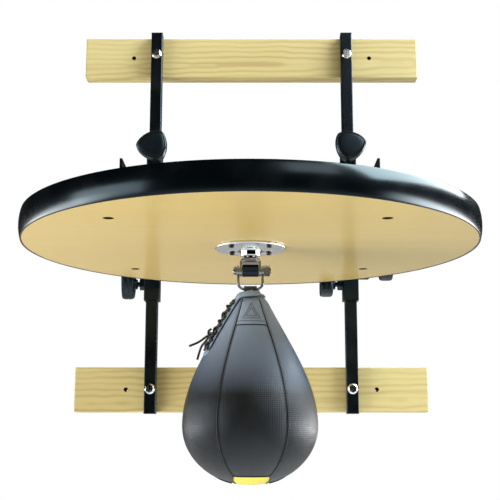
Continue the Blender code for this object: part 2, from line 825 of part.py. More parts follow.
def clamps():
    """Each sleeve's clamps: one in front of an upper sleeve, two beside a lower one."""
    slides = []
    for side, sign in SIDES:
        x = sign * UPRIGHT_X
        half = SLEEVE_SIDE / 2
        front = Vector((x, SLEEVE_FRONT, FRONT_CLAMP_Z))
        left = Vector((x - half, LEFT_CLAMP_Y, LEFT_CLAMP_Z))
        right = Vector((x + half, RIGHT_CLAMP_Y, RIGHT_CLAMP_Z))
        slides += [
            clamp(f"upper_{side}", front, -Y_AXIS, KNOB_STANDOFF, FRONT_LOBES[side]),
            clamp(f"lower_{side}_a", left, -X_AXIS, KNOB_STANDOFF + 3 * MM, LEFT_LOBES[side]),
            clamp(
                f"lower_{side}_b",
                right,
                X_AXIS,
                BLOCK_STANDOFF,
                RIGHT_LOBE,
                SMALL_KNOB_MEAN_RADIUS,
            ),
        ]
    return slides


# Swivel


def flange_screw_places():
    across, deep = SCREW_SPREAD
    return [
        CENTRE + Vector((sx * across, sy * deep, 0)) for sy in (-1, 1) for sx in (-1, 1)
    ]


def swivel_flange():
    """The screwed-on plate and its hub, whose lip holds the bearing up."""
    outline = [
        (FLANGE_RADIUS, -GAP),
        (FLANGE_RADIUS - 0.8 * MM, -FLANGE_THICKNESS),
        (HUB_RADIUS + 1.5 * MM, -FLANGE_THICKNESS),
        (HUB_RADIUS, -FLANGE_THICKNESS - 1.5 * MM),
        (HUB_RADIUS, HUB_BOTTOM + 1 * MM),
        (HUB_RADIUS - 1 * MM, HUB_BOTTOM),
        (LIP_BORE, HUB_BOTTOM),
        (LIP_BORE, HUB_BOTTOM + HUB_LIP),
        (HUB_BORE, HUB_BOTTOM + HUB_LIP),
        (HUB_BORE, -GAP),
    ]
    flange = turned("swivel_flange", outline, CENTRE, Z_AXIS, CHROME, 32, closed=True)
    smooth(flange)
    for number, spot in enumerate(flange_screw_places()):
        cut(
            flange,
            cylinder(f"flange_hole_{number}", spot, Z_AXIS, FLANGE_SCREW_HOLE, 20 * MM),
        )
    return flange


def flange_screw(number, spot):
    """A pan-head wood screw, driven up through the flange."""
    seat = -FLANGE_THICKNESS - GAP
    outline = [
        (0, FLANGE_SCREW_LENGTH),
        (FLANGE_SCREW_RADIUS, FLANGE_SCREW_LENGTH - 2 * MM),
        (FLANGE_SCREW_RADIUS, seat),
        (FLANGE_SCREW_HEAD_RADIUS, seat),
        (FLANGE_SCREW_HEAD_RADIUS - 0.4 * MM, seat - 0.6 * FLANGE_SCREW_HEAD),
        (FLANGE_SCREW_HEAD_RADIUS * 0.5, seat - FLANGE_SCREW_HEAD),
        (0, seat - FLANGE_SCREW_HEAD),
    ]
    screw = turned(f"flange_screw_{number}", outline, spot, Z_AXIS, BRIGHT_STEEL, 14)
    smooth(screw)
    return screw


def swivel_bearing():
    """The thrust ring between the hub's lip and the spindle's head."""
    low = HUB_BOTTOM + HUB_LIP + GAP
    outline = [
        (HUB_BORE - GAP, low + 3 * MM),
        (HUB_BORE - GAP, low),
        (LIP_BORE + 0.4 * MM, low),
        (LIP_BORE + 0.4 * MM, low + 3 * MM),
    ]
    return turned("swivel_bearing", outline, CENTRE, Z_AXIS, BRIGHT_STEEL, closed=True)


def swivel_clevis():
    """The spindle, its head on the bearing, and the two ears below the hub."""
    head_low = HUB_BOTTOM + HUB_LIP + 3 * MM + 2 * GAP
    neck = LIP_BORE - 0.4 * MM
    head_radius = HUB_BORE - 0.8 * MM
    outline = [
        (0, head_low + 3.5 * MM),
        (head_radius, head_low + 3.5 * MM),
        (head_radius, head_low),
        (neck, head_low),
        (neck, HUB_BOTTOM - GAP),
        (neck + 3 * MM, CROWN_TOP),
        (EAR_OUTSIDE - 2 * MM, CROWN_TOP - 2.2 * MM),
        (EAR_OUTSIDE, CROWN_TOP - 5 * MM),
        (EAR_OUTSIDE, CROWN_BOTTOM),
        (0, CROWN_BOTTOM),
    ]
    clevis = turned("swivel_clevis", outline, CENTRE, Z_AXIS, CHROME, 20)
    smooth(clevis)
    thickness = EAR_OUTSIDE - EAR_INSIDE
    top = CROWN_BOTTOM - PIVOT_Z + 2 * MM
    ear = [(-top, -EAR_RADIUS)] + arc((0, 0), EAR_RADIUS, -90, 90, 8) + [(-top, EAR_RADIUS)]
    pivot = CENTRE + Z_AXIS * PIVOT_Z
    for side, sign in SIDES:
        # The plate's own X points down once its Z is turned along +X.
        spot = pivot + X_AXIS * sign * (EAR_INSIDE + thickness / 2)
        plate = flat_outline(f"ear_{side}", ear, spot, X_AXIS, thickness)
        plate.rotation_euler = ear_turn()
        join(clevis, plate)
    cut(clevis, cylinder("cross_hole", pivot, X_AXIS, BOLT_CLEARANCE, 60 * MM))
    return clevis


def ear_turn():
    """Turns a plate so that its own X points down and its thickness lies along X."""
    columns = Matrix(((0, 0, 1), (0, 1, 0), (-1, 0, 0)))
    return columns.to_euler()


def cross_bolt():
    """A domed-head bolt through the ears, the roller and the shackle's eyes."""
    seat = EYE_X + WIRE_RADIUS + GAP
    length = 2 * seat + CROSS_NUT + 1.5 * MM
    outline = [
        (0, CROSS_HEAD),
        (2.5 * MM, CROSS_HEAD),
        (CROSS_HEAD_RADIUS - 1 * MM, CROSS_HEAD - 1.5 * MM),
        (CROSS_HEAD_RADIUS, CROSS_HEAD - 3.5 * MM),
        (CROSS_HEAD_RADIUS, 0),
        (BOLT_RADIUS, 0),
        (BOLT_RADIUS, -length),
        (0, -length),
    ]
    spot = CENTRE + Z_AXIS * PIVOT_Z - X_AXIS * seat
    bolt = turned("cross_bolt", outline, spot, -X_AXIS, BRIGHT_STEEL)
    smooth(bolt)
    cut(bolt, hexagon("cross_socket", spot - X_AXIS * CROSS_HEAD, X_AXIS, 5 * MM, 5 * MM))
    return bolt


def cross_nut():
    seat = EYE_X + WIRE_RADIUS + GAP
    spot = CENTRE + Z_AXIS * PIVOT_Z + X_AXIS * (seat + CROSS_NUT / 2)
    nut = hexagon("cross_nut", spot, X_AXIS, CROSS_NUT_HEX, CROSS_NUT, BRIGHT_STEEL)
    cut(nut, cylinder("cross_nut_bore", spot, X_AXIS, BOLT_RADIUS + GAP, 20 * MM))
    return nut


def cross_roller():
    """The nylon spacer on the cross bolt, between the ears."""
    half = EAR_INSIDE - GAP
    outline = [
        (ROLLER_RADIUS - 0.8 * MM, half),
        (ROLLER_RADIUS, half - 0.8 * MM),
        (ROLLER_RADIUS, -half + 0.8 * MM),
        (ROLLER_RADIUS - 0.8 * MM, -half),
        (BOLT_CLEARANCE, -half),
        (BOLT_CLEARANCE, half),
    ]
    spot = CENTRE + Z_AXIS * PIVOT_Z
    roller = turned("cross_roller", outline, spot, X_AXIS, BLACK_PLASTIC, closed=True)
    smooth(roller)
    return roller


# Shackle and bag


def tube_along(name, points, radius, finish, resolution=2):
    """A round wire or lace along the points, as a mesh."""
    curve = bpy.data.curves.new(name, "CURVE")
    curve.dimensions = "3D"
    curve.bevel_depth = radius
    curve.bevel_resolution = resolution
    curve.use_fill_caps = True
    spline = curve.splines.new("POLY")
    spline.points.add(len(points) - 1)
    for target, point in zip(spline.points, points):
        target.co = (*point, 1)
    guide = bpy.data.objects.new(f"{name}_guide", curve)
    HELPERS.objects.link(guide)
    bpy.context.view_layer.update()
    evaluated = guide.evaluated_get(bpy.context.evaluated_depsgraph_get())
    mesh = bpy.data.meshes.new_from_object(evaluated)
    bpy.data.objects.remove(guide, do_unlink=True)
    bm = bmesh.new()
    bm.from_mesh(mesh)
    bmesh.ops.remove_doubles(bm, verts=bm.verts, dist=0.01 * MM)
    bm.to_mesh(mesh)
    bm.free()
    mesh.materials.clear()
    tube = add(name, mesh, finish)
    smooth(tube)
    return tube


def shackle():
    """The wire bow: legs, rounded corners, the bottom bar, and a flat eye on each leg."""
    low, leg = BAR_Z + BOW_CORNER, EYE_X - BOW_CORNER
    start = PIVOT_Z - EYE_RADIUS + 1.5 * MM
    right = [(EYE_X, start)] + arc((leg, low), BOW_CORNER, 0, -90, 5)
    left = [(-x, z) for x, z in reversed(right)]
    route = [CENTRE + Vector((x, 0, z)) for x, z in right + left]
    bow = tube_along("shackle", route, WIRE_RADIUS, CHROME)
    pivot = CENTRE + Z_AXIS * PIVOT_Z
    for side, sign in SIDES:
        spot = pivot + X_AXIS * sign * EYE_X
        eye = cylinder(f"eye_{side}", spot, X_AXIS, EYE_RADIUS, 2 * WIRE_RADIUS - 0.1 * MM)
        join(bow, eye)
    cut(bow, cylinder("eye_hole", pivot, X_AXIS, BOLT_CLEARANCE, 60 * MM))
    return bow


def bag_outline(inset=0.0, steps=(3, 4, 5)):
    """The bag's side from its neck to its bottom, as three smooth stretches."""
    top, shoulder, belly = (Vector(p) for p in (BAG_TOP, BAG_SHOULDER, BAG_BELLY))
    bottom = Vector((0, BAG_BOTTOM))
    flank = Vector((0.492, -0.870))
    depth = belly.y - bottom.y
    round_share = 0.5523  # a quarter circle's handle length over its radius
    stretches = (
        (top, top + Vector((5, -1.5)) * MM, shoulder - flank * 14 * MM, shoulder),
        (shoulder, shoulder + flank * 63 * MM, belly + Vector((0, 45 * MM)), belly),
        (
            belly,
            belly - Vector((0, depth * round_share)),
            bottom + Vector((belly.x * round_share, 0)),
            bottom,
        ),
    )
    points = []
    for stretch, count in zip(stretches, steps):
        points += interpolate_bezier(*stretch, count + 1)[:-1]
    points.append(bottom)
    if inset:
        middle = Vector((0, belly.y))
        shrink = 1 - inset / belly.x
        points = [middle + (p - middle) * shrink for p in points]
    return [(p.x, p.y) for p in points]


def bag_shell(name, outline, thickness, finish, steps):
    """An open skin of revolution, thickened inwards."""
    shell = turned(name, outline, CENTRE, Z_AXIS, finish, steps)
    smooth(shell)
    skin = shell.modifiers.new("thickness", "SOLIDIFY")
    skin.thickness = thickness
    skin.offset = -1
    skin.use_even_offset = True
    return shell


def surface_radius(height):
    """The bag's radius at a height below the platform's underside."""
    outline = bag_outline(steps=(12, 24, 24))
    for (r1, z1), (r2, z2) in zip(outline, outline[1:]):
        if z2 <= height <= z1:
            return r1 + (r2 - r1) * (z1 - height) / (z1 - z2)
    return outline[-1][0]


def strap_loop():
    """The strap over the shackle's bar, its two ends going down inside the neck."""
    inner = WIRE_RADIUS + GAP
    outer = inner + STRAP_THICKNESS
    drop = BAR_Z - STRAP_BOTTOM
    # Drawn in the plane of the plate, whose own X points down.
    outline = (
        [(drop, outer)]
        + arc((0, 0), outer, 90, 270, 10)
        + [(drop, -outer), (drop, -inner)]
        + arc((0, 0), inner, 270, 90, 8)
        + [(drop, inner)]
    )
    spot = CENTRE + Z_AXIS * BAR_Z
    strap = flat_outline("strap_loop", outline, spot, X_AXIS, STRAP_WIDTH, LEATHER)
    strap.rotation_euler = ear_turn()
    return strap


def bag_lace():
    """The lace, zigzag down the left seam from the neck, just clear of the skin."""
    turn = Matrix.Rotation(LACE_TURN, 3, "Z")
    points = []
    for row in range(2 * LACE_ROWS + 1):
        height = LACE_TOP + (LACE_BOTTOM - LACE_TOP) * row / (2 * LACE_ROWS)
        reach = surface_radius(height) + LACE_RADIUS + 1.6 * MM
        across = LACE_HALF_WIDTH * (1 if row % 2 else -1)
        spot = Vector((-math.sqrt(reach**2 - across**2), across, height))
        points.append(CENTRE + turn @ spot)
    return tube_along("bag_lace", points, LACE_RADIUS, LEATHER, 1)


def speed_bag():
    """Cover, bladder, strap, lace and its free ends."""
    bag_shell("bag_cover", bag_outline(), COVER_THICKNESS, LEATHER, 24)
    inner = lowered_neck(bag_outline(BLADDER_INSET, (2, 3, 4)))
    bag_shell("bag_bladder", inner, BLADDER_THICKNESS, RUBBER, 16)
    strap_loop()
    bag_lace()
    for name, route in LACE_TAILS.items():
        points = [CENTRE + Vector(point) * MM for point in route]
        tube_along(name, smooth_route(points), LACE_RADIUS, LEATHER)


def lowered_neck(outline):
    """The bladder's side, starting lower than the strap's ends."""
    limit = STRAP_BOTTOM - 4 * MM
    kept = [point for point in outline if point[1] < limit]
    return [(4 * MM, limit)] + kept


def smooth_route(points):
    """A curve through the points, with two extra points in each gap."""
    padded = [2 * points[0] - points[1], *points, 2 * points[-1] - points[-2]]
    route = []
    for before, start, end, after in zip(padded, padded[1:], padded[2:], padded[3:]):
        out, back = (end - before) / 6, (after - start) / 6
        route += interpolate_bezier(start, start + out, end - back, end, 4)[:-1]
    return route + [points[-1]]


def build():
    wall_frame()
    carriage = joint_empty("carriage_slide", (0, UPRIGHT_Y, PLATFORM_Z))
    riding = [platform_board(), platform_edge_band(), swivel_flange(), swivel_bearing()]
    for side, sign in SIDES:
        riding += [arm(side, sign), brace(side, sign)]
        riding += [brace_bolt(side, sign), brace_nut(side, sign)]
        for end, y in PLATFORM_BOLT_Y.items():
            riding.append(platform_bolt(end, side, PLATFORM_BOLT_X[end, side], y))
    for number, spot in enumerate(flange_screw_places(), 1):
        riding.append(flange_screw(number, spot))
    carry(carriage, *riding, *clamps())
    swivel = joint_empty("swivel_turn", CENTRE, carriage)
    carry(swivel, swivel_clevis(), cross_bolt(), cross_nut(), cross_roller())
    hinge = joint_empty("shackle_swing", CENTRE + Z_AXIS * PIVOT_Z, swivel)
    carry(hinge, shackle())
    before = set(PARTS.objects)
    speed_bag()
    bag = joint_empty("bag_swing", CENTRE + Z_AXIS * BAR_Z, hinge)
    carry(bag, *[obj for obj in PARTS.objects if obj not in before and obj is not bag])


build()
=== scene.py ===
"""Looks for the speed bag platform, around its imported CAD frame.

Row frame: metres, +Z up, +Y into the wall, +X to the right of someone who faces the wall.
"""
import json
import math

import bmesh
import bpy
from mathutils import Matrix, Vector
from mathutils.geometry import interpolate_bezier


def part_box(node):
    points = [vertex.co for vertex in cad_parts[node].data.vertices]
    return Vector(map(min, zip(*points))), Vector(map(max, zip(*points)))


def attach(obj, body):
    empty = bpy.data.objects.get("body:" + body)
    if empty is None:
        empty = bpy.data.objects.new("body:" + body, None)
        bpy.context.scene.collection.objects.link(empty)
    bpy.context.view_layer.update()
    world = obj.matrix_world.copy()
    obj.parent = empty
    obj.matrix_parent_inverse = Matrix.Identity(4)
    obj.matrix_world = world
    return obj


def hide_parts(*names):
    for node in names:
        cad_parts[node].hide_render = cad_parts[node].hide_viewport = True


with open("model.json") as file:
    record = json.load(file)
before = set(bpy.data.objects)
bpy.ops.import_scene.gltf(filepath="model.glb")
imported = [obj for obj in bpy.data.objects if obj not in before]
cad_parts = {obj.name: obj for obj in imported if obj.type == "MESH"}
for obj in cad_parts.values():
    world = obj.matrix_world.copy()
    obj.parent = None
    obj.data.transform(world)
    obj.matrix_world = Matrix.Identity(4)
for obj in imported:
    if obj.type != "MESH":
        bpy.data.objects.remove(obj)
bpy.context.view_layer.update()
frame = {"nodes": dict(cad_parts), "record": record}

NODES = frame["nodes"]
MM = 0.001
X_AXIS = Vector((1, 0, 0))
Y_AXIS = Vector((0, 1, 0))
Z_AXIS = Vector((0, 0, 1))


def middle(node):
    low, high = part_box(node)
    return (low + high) / 2


# The platform's underside is at its board's lowest point, and its centre is the board's.
board_low, board_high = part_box("platform_board")
CENTRE = Vector((0, middle("platform_board").y, board_low.z))
PLATFORM_THICKNESS = board_high.z - board_low.z
PLATFORM_RADIUS = (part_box("platform_edge_band")[1].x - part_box("platform_edge_band")[0].x) / 2


# Camera: in front and a little below the platform, tilted up to its underside
camera_data = bpy.data.cameras.new("camera")
camera_data.lens = 72.37
camera_data.sensor_width = 36
camera_data.shift_x = -0.01066
camera_data.clip_end = 60
camera = bpy.data.objects.new("camera", camera_data)
camera.location = (0.0065, -1.6655, -0.6666)
camera.rotation_euler = (math.radians(101.313), 0, 0)
bpy.context.scene.collection.objects.link(camera)
bpy.context.scene.camera = camera
bpy.context.scene.view_settings.view_transform = "Standard"


# Node materials


class Paint:
    """A material's node tree, with short calls for what these materials use."""

    def __init__(self, name, colour, roughness, metallic=0.0, **settings):
        self.material = bpy.data.materials.new(name)
        self.material.use_nodes = True
        self.tree = self.material.node_tree
        self.shader = self.tree.nodes["Principled BSDF"]
        self.shader.inputs["Base Color"].default_value = (*colour, 1)
        self.shader.inputs["Roughness"].default_value = roughness
        self.shader.inputs["Metallic"].default_value = metallic
        for socket, value in settings.items():
            self.shader.inputs[socket.replace("_", " ")].default_value = value
        self.coords = self.tree.nodes.new("ShaderNodeTexCoord")

    def node(self, kind, **values):
        made = self.tree.nodes.new(kind)
        for key, value in values.items():
            if key in made.inputs:
                self.feed(made.inputs[key], value)
            else:
                setattr(made, key, value)
        return made

    def feed(self, socket, value):
        if isinstance(value, bpy.types.NodeSocket):
            self.tree.links.new(value, socket)
        else:
            socket.default_value = value

    def mapped(self, scale, source="Object", rotation=(0, 0, 0), shift=(0, 0, 0)):
        node = self.node("ShaderNodeMapping")
        self.feed(node.inputs["Vector"], self.coords.outputs[source])
        node.inputs["Scale"].default_value = scale
        node.inputs["Rotation"].default_value = rotation
        node.inputs["Location"].default_value = shift
        return node.outputs["Vector"]

    def noise(self, vector, scale, detail=2.0, roughness=0.5):
        node = self.node("ShaderNodeTexNoise", Scale=scale, Detail=detail, Roughness=roughness)
        self.feed(node.inputs["Vector"], vector)
        return node.outputs["Fac"]

    def math(self, operation, a, b=0.0, c=0.0):
        node = self.tree.nodes.new("ShaderNodeMath")
        node.operation = operation
        for socket, value in zip(node.inputs, (a, b, c)):
            self.feed(socket, value)
        return node.outputs[0]

    def stretch(self, value, low, high, to_low, to_high):
        node = self.tree.nodes.new("ShaderNodeMapRange")
        for socket, given in zip(node.inputs, (value, low, high, to_low, to_high)):
            self.feed(socket, given)
        return node.outputs["Result"]

    def mix(self, factor, first, second):
        node = self.tree.nodes.new("ShaderNodeMix")
        node.data_type = "RGBA"
        self.feed(node.inputs[0], factor)
        for socket, value in ((node.inputs[6], first), (node.inputs[7], second)):
            self.feed(socket, value if isinstance(value, bpy.types.NodeSocket) else (*value, 1))
        return node.outputs[2]

    def bump(self, height, distance, strength=1.0):
        node = self.tree.nodes.new("ShaderNodeBump")
        node.inputs["Strength"].default_value = strength
        node.inputs["Distance"].default_value = distance
        self.feed(node.inputs["Height"], height)
        self.feed(self.shader.inputs["Normal"], node.outputs["Normal"])

    def colour(self, value):
        self.feed(self.shader.inputs["Base Color"], value)

    def rough(self, value):
        self.feed(self.shader.inputs["Roughness"], value)


def pine(name, shift):
    """Pale pine: growth rings about a line behind the board, and fine fibres along it."""
    paint = Paint(name, (0.7, 0.55, 0.25), 0.5, Specular_IOR_Level=0.35)
    tilted = paint.mapped((1, 1, 1), rotation=(0, 0.012, 0.03), shift=shift)
    rings = paint.node(
        "ShaderNodeTexWave",
        wave_type="RINGS",
        rings_direction="X",
        Scale=34.0,
        Distortion=5.0,
        Detail=2.0,
    )
    rings.inputs["Detail Scale"].default_value = 0.35
    paint.feed(rings.inputs["Vector"], tilted)
    fibres = paint.noise(paint.mapped((9, 420, 420)), 1.0, 3.0)
    patches = paint.noise(paint.mapped((3, 14, 14), shift=shift), 1.0, 2.0)
    late_wood = paint.math("POWER", rings.outputs["Fac"], 2.2)
    tone = paint.math("MULTIPLY", late_wood, paint.stretch(patches, 0.35, 0.7, 0.15, 0.6))
    tone = paint.math("ADD", tone, paint.stretch(fibres, 0.4, 0.75, 0.0, 0.22))
    pale = paint.mix(paint.stretch(patches, 0.3, 0.7, 0, 1), (0.57, 0.485, 0.225), (0.53, 0.435, 0.19))
    paint.colour(paint.mix(tone, pale, (0.34, 0.245, 0.1)))
    paint.rough(paint.stretch(fibres, 0.3, 0.7, 0.42, 0.56))
    relief = paint.math("ADD", fibres, paint.math("MULTIPLY", late_wood, 0.4))
    paint.bump(relief, 0.12 * MM)
    return paint.material


def varnished_board():
    """The platform's board: close-grained wood under satin varnish."""
    paint = Paint(
        "varnished_board", (0.8, 0.62, 0.25), 0.55, Coat_Weight=0.6, Coat_Roughness=0.2
    )
    fibres = paint.noise(paint.mapped((7, 260, 260)), 1.0, 3.0)
    clouds = paint.noise(paint.mapped((1.6, 9, 9)), 1.0, 2.0)
    fine = paint.stretch(fibres, 0.35, 0.75, 0, 0.2)
    tone = paint.math("ADD", fine, paint.stretch(clouds, 0.35, 0.7, 0, 0.25))
    paint.colour(paint.mix(tone, (0.53, 0.39, 0.13), (0.45, 0.31, 0.085)))
    paint.bump(paint.math("ADD", fibres, clouds), 0.05 * MM)
    return paint.material


def coated(name, colour, roughness, grain_mm, relief_mm, spread=0.06, **settings):
    """Black coatings and mouldings: a fine orange peel, and handling that dulls patches."""
    paint = Paint(name, colour, roughness, **settings)
    peel = paint.noise(paint.mapped((1, 1, 1)), 1 / (grain_mm * MM), 2.0)
    handling = paint.noise(paint.mapped((1, 1, 1)), 22.0, 4.0)
    paint.rough(paint.stretch(handling, 0.35, 0.7, roughness - spread, roughness + spread))
    paler = tuple(min(1, c * 1.8 + 0.004) for c in colour)
    paint.colour(paint.mix(paint.stretch(handling, 0.5, 0.75, 0, 0.6), colour, paler))
    paint.bump(peel, relief_mm * MM)
    return paint.material


def metal(name, colour, roughness, lines=(1, 1, 1), relief_mm=0.02, spread=0.08):
    """Bare or plated metal: machining lines along the mapping, and faint smudges."""
    paint = Paint(name, colour, roughness, 1.0)
    machined = paint.noise(paint.mapped(lines), 1600.0, 2.0)
    smudges = paint.noise(paint.mapped((1, 1, 1)), 90.0, 3.0)
    paint.rough(paint.stretch(smudges, 0.35, 0.7, max(0.02, roughness - spread), roughness + spread))
    dull = tuple(c * 0.82 for c in colour)
    paint.colour(paint.mix(paint.stretch(smudges, 0.4, 0.75, 0, 0.7), colour, dull))
    paint.bump(machined, relief_mm * MM)
    return paint.material


DIMPLE = 2.4 * MM  # from one embossed square to the next
TOP_PALE_AND_PAINTED_LIGHT = (0.235, 0.32, 0.5)  # the smooth top of the bag, duller and paler than the rest; its paleness is partly the leather's own grey and partly painted light for the glow from the platform's underside


def leather(name, colour, roughness, emboss=False, **settings):
    """Synthetic leather with fine creases. An embossed one has square dimples and a paler top, partly
    its own grey and partly painted light for the glow from the platform's underside.
    """
    paint = Paint(name, colour, roughness, **settings)
    creases = paint.node("ShaderNodeTexVoronoi", feature="DISTANCE_TO_EDGE", Scale=1100.0)
    paint.feed(creases.inputs["Vector"], paint.mapped((1, 1, 1)))
    cells = paint.stretch(creases.outputs["Distance"], 0.0, 0.12, 0.0, 1.0)
    scuffs = paint.noise(paint.mapped((1, 1, 1)), 26.0, 4.0)
    light = tuple(min(1, c * 1.25 + 0.004) for c in colour)
    base = paint.mix(paint.stretch(scuffs, 0.4, 0.7, 0, 1), colour, light)
    if emboss:
        # Painted light: the colour pales towards the top, partly the leather's own grey, partly
        # standing in for the glow from the platform's underside
        paler = paint.node("ShaderNodeAttribute", attribute_name="top_pale_and_painted_light")
        base = paint.mix(paler.outputs["Fac"], base, TOP_PALE_AND_PAINTED_LIGHT)
    paint.colour(base)
    paint.rough(paint.stretch(scuffs, 0.3, 0.7, roughness - 0.05, roughness + 0.06))
    relief = paint.math("MULTIPLY", cells, 0.3)
    if emboss:
        split = paint.node("ShaderNodeSeparateXYZ")
        paint.feed(split.inputs[0], paint.coords.outputs["UV"])
        waves = [
            paint.math("SINE", paint.math("MULTIPLY", split.outputs[k], 2 * math.pi / DIMPLE))
            for k in (0, 1)
        ]
        bars = paint.math("MAXIMUM", waves[0], waves[1])
        squares = paint.stretch(bars, -0.2, 0.8, 0.0, 1.0)
        mask = paint.node("ShaderNodeAttribute", attribute_name="emboss")
        pressed = paint.math("MULTIPLY", squares, mask.outputs["Fac"])
        relief = paint.math("ADD", relief, pressed)
    paint.bump(relief, 0.12 * MM)
    return paint.material


def webbing(name):
    """Woven dark grey webbing."""
    paint = Paint(name, (0.02, 0.022, 0.024), 0.7, Sheen_Weight=0.3, Sheen_Roughness=0.5)
    weave = paint.node(
        "ShaderNodeTexWave", wave_type="BANDS", bands_direction="DIAGONAL", Scale=420.0
    )
    paint.feed(weave.inputs["Vector"], paint.mapped((1, 1, 1)))
    threads = paint.noise(paint.mapped((1, 1, 1)), 900.0, 2.0)
    paint.colour(
        paint.mix(paint.stretch(threads, 0.35, 0.7, 0, 1), (0.018, 0.02, 0.022), (0.04, 0.043, 0.046))
    )
    paint.rough(paint.stretch(threads, 0.3, 0.7, 0.6, 0.8))
    paint.bump(weave.outputs["Fac"], 0.25 * MM)
    return paint.material


FINISHES = {
    "pine_upper": pine("pine_upper", (0.0, 0.03, 0.012)),
    "pine_lower": pine("pine_lower", (0.31, 0.026, 0.588)),
    "varnished_wood": varnished_board(),
    "edge_band": coated(
        "edge_band", (0.0012, 0.0022, 0.003), 0.2, 1.4, 0.012, 0.03, Specular_Tint=(0.7, 0.9, 1.0, 1.0)
    ),
    "black_steel": coated(
        "black_steel", (0.0015, 0.0022, 0.0028), 0.3, 0.8, 0.03, Specular_Tint=(0.6, 0.8, 1.0, 1.0)
    ),
    "black_plastic": coated(
        "black_plastic", (0.003, 0.0045, 0.0055), 0.34, 0.45, 0.03, Specular_Tint=(0.6, 0.8, 1.0, 1.0)
    ),
    "bright_steel": metal("bright_steel", (0.78, 0.79, 0.8), 0.2, (1, 1, 1)),
    "dark_steel": metal("dark_steel", (0.05, 0.045, 0.045), 0.4),
    "chrome": metal("chrome", (0.86, 0.88, 0.9), 0.07, (1, 1, 0.2), 0.004, 0.03),
    "dark_chrome": metal("dark_chrome", (0.22, 0.22, 0.21), 0.12, (1, 1, 1), 0.01),
    "leather": leather(
        "leather", (0.0018, 0.0019, 0.0021), 0.34, True, Specular_Tint=(0.82, 0.9, 1.0, 1.0),
        Specular_IOR_Level=0.5,
    ),
    # The bag's smooth top pieces, in the pale top colour that includes painted light
    "leather_plain": leather(
        "leather_plain", TOP_PALE_AND_PAINTED_LIGHT, 0.45, Specular_Tint=(0.82, 0.9, 1.0, 1.0),
        Specular_IOR_Level=0.85,
    ),
    "leather_dark": leather("leather_dark", (0.01, 0.011, 0.013), 0.45),
    "leather_yellow": leather("leather_yellow", (0.6, 0.52, 0.04), 0.4),
    "webbing": webbing("webbing"),
    # A near-black brown: painted shade for the insides of the sunk holes, which lie in shadow
    "painted_hole_shade": coated("painted_hole_shade", (0.012, 0.008, 0.004), 0.8, 1.2, 0.05),
    "rubber": coated("rubber", (0.03, 0.03, 0.03), 0.6, 0.6, 0.05),
}


def dress(obj, *finishes):
    """Gives an object these finishes, in the order of its faces' material numbers."""
    if len(obj.data.materials):
        obj.data.materials.clear()
    for finish in finishes:
        obj.data.materials.append(FINISHES[finish])


for piece in frame["record"]["subparts"]:
    slot = piece["material_slot"]
    name = piece["node"]
    if name.startswith("wall_board"):
        slot = name.replace("wall_board", "pine")
    elif slot == "leather":
        slot = "leather_plain"
    elif name.startswith("clamp_stud"):
        slot = "black_steel"
    elif name.startswith("flange_screw"):
        slot = "dark_steel"
    elif name in ("swivel_clevis", "cross_bolt", "cross_nut", "shackle"):
        slot = "dark_chrome"
    dress(NODES[name], slot)


# Helpers for the pieces made here


def piece_of(name, body, slot, bm, *finishes):
    """A new mesh piece from a bmesh in the row frame, riding on a body."""
    mesh = bpy.data.meshes.new(name)
    bmesh.ops.recalc_face_normals(bm, faces=bm.faces)
    for face in bm.faces:
        face.smooth = True
    bm.to_mesh(mesh)
    bm.free()
    obj = bpy.data.objects.new(name, mesh)
    bpy.context.scene.collection.objects.link(obj)
    dress(obj, *finishes)
    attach(obj, body)
    return obj


def loft(bm, rings, around=False):
    """Joins closed rings of points into a skin, with capped ends or round to the first again."""
    made = [[bm.verts.new(point) for point in ring] for ring in rings]
    following = made[1:] + (made[:1] if around else [])
    for before, after in zip(made, following):
        for k in range(len(before)):
            n = (k + 1) % len(before)
            bm.faces.new((before[k], before[n], after[n], after[k]))
    if not around:
        bm.faces.new(made[0])
        bm.faces.new(made[-1])


def circle(centre, across, other, radius, sides):
    """Points round a circle, from its two crossing directions."""
    angles = [2 * math.pi * k / sides for k in range(sides)]
    return [centre + (across * math.cos(a) + other * math.sin(a)) * radius for a in angles]


def add_tube(bm, points, radius, sides=8):
    """A tube along a line of points, its rings turned as little as possible on the way."""
    tangents = []
    for k in range(len(points)):
        tangents.append((points[min(k + 1, len(points) - 1)] - points[max(k - 1, 0)]).normalized())
    across = tangents[0].orthogonal().normalized()
    rings = []
    for point, tangent in zip(points, tangents):
        across = (across - tangent * across.dot(tangent)).normalized()
        rings.append(circle(point, across, tangent.cross(across), radius, sides))
    loft(bm, rings)


def catmull(points, steps):
    """A smooth line through the points, with steps pieces in each gap."""
    padded = [2 * points[0] - points[1], *points, 2 * points[-1] - points[-2]]
    route = []
    for before, start, end, after in zip(padded, padded[1:], padded[2:], padded[3:]):
        out, back = (end - before) / 6, (after - start) / 6
        route += interpolate_bezier(start, start + out, end - back, end, steps + 1)[:-1]
    return route + [points[-1]]


# The lace's two free ends

TAIL_RADIUS = 1.5 * MM
TAILS = {  # points from the platform's centre, in mm
    "lace_end_long": (
        (-52.5, -1.8, -117),
        (-56, -2.2, -118.8),
        (-60, -2.6, -121.5),
        (-64.5, -3, -125),
        (-71, -4.5, -129),
        (-80, -8, -133),
    ),
    "lace_end_short": (
        (-54.8, -14.8, -123),
        (-58.6, -12.6, -127.5),
        (-63.8, -8.5, -133.5),
        (-67, -5, -141.5),
        (-69.5, -4, -150.5),
    ),
}


def line_length(points):
    return sum((b - a).length for a, b in zip(points, points[1:]))


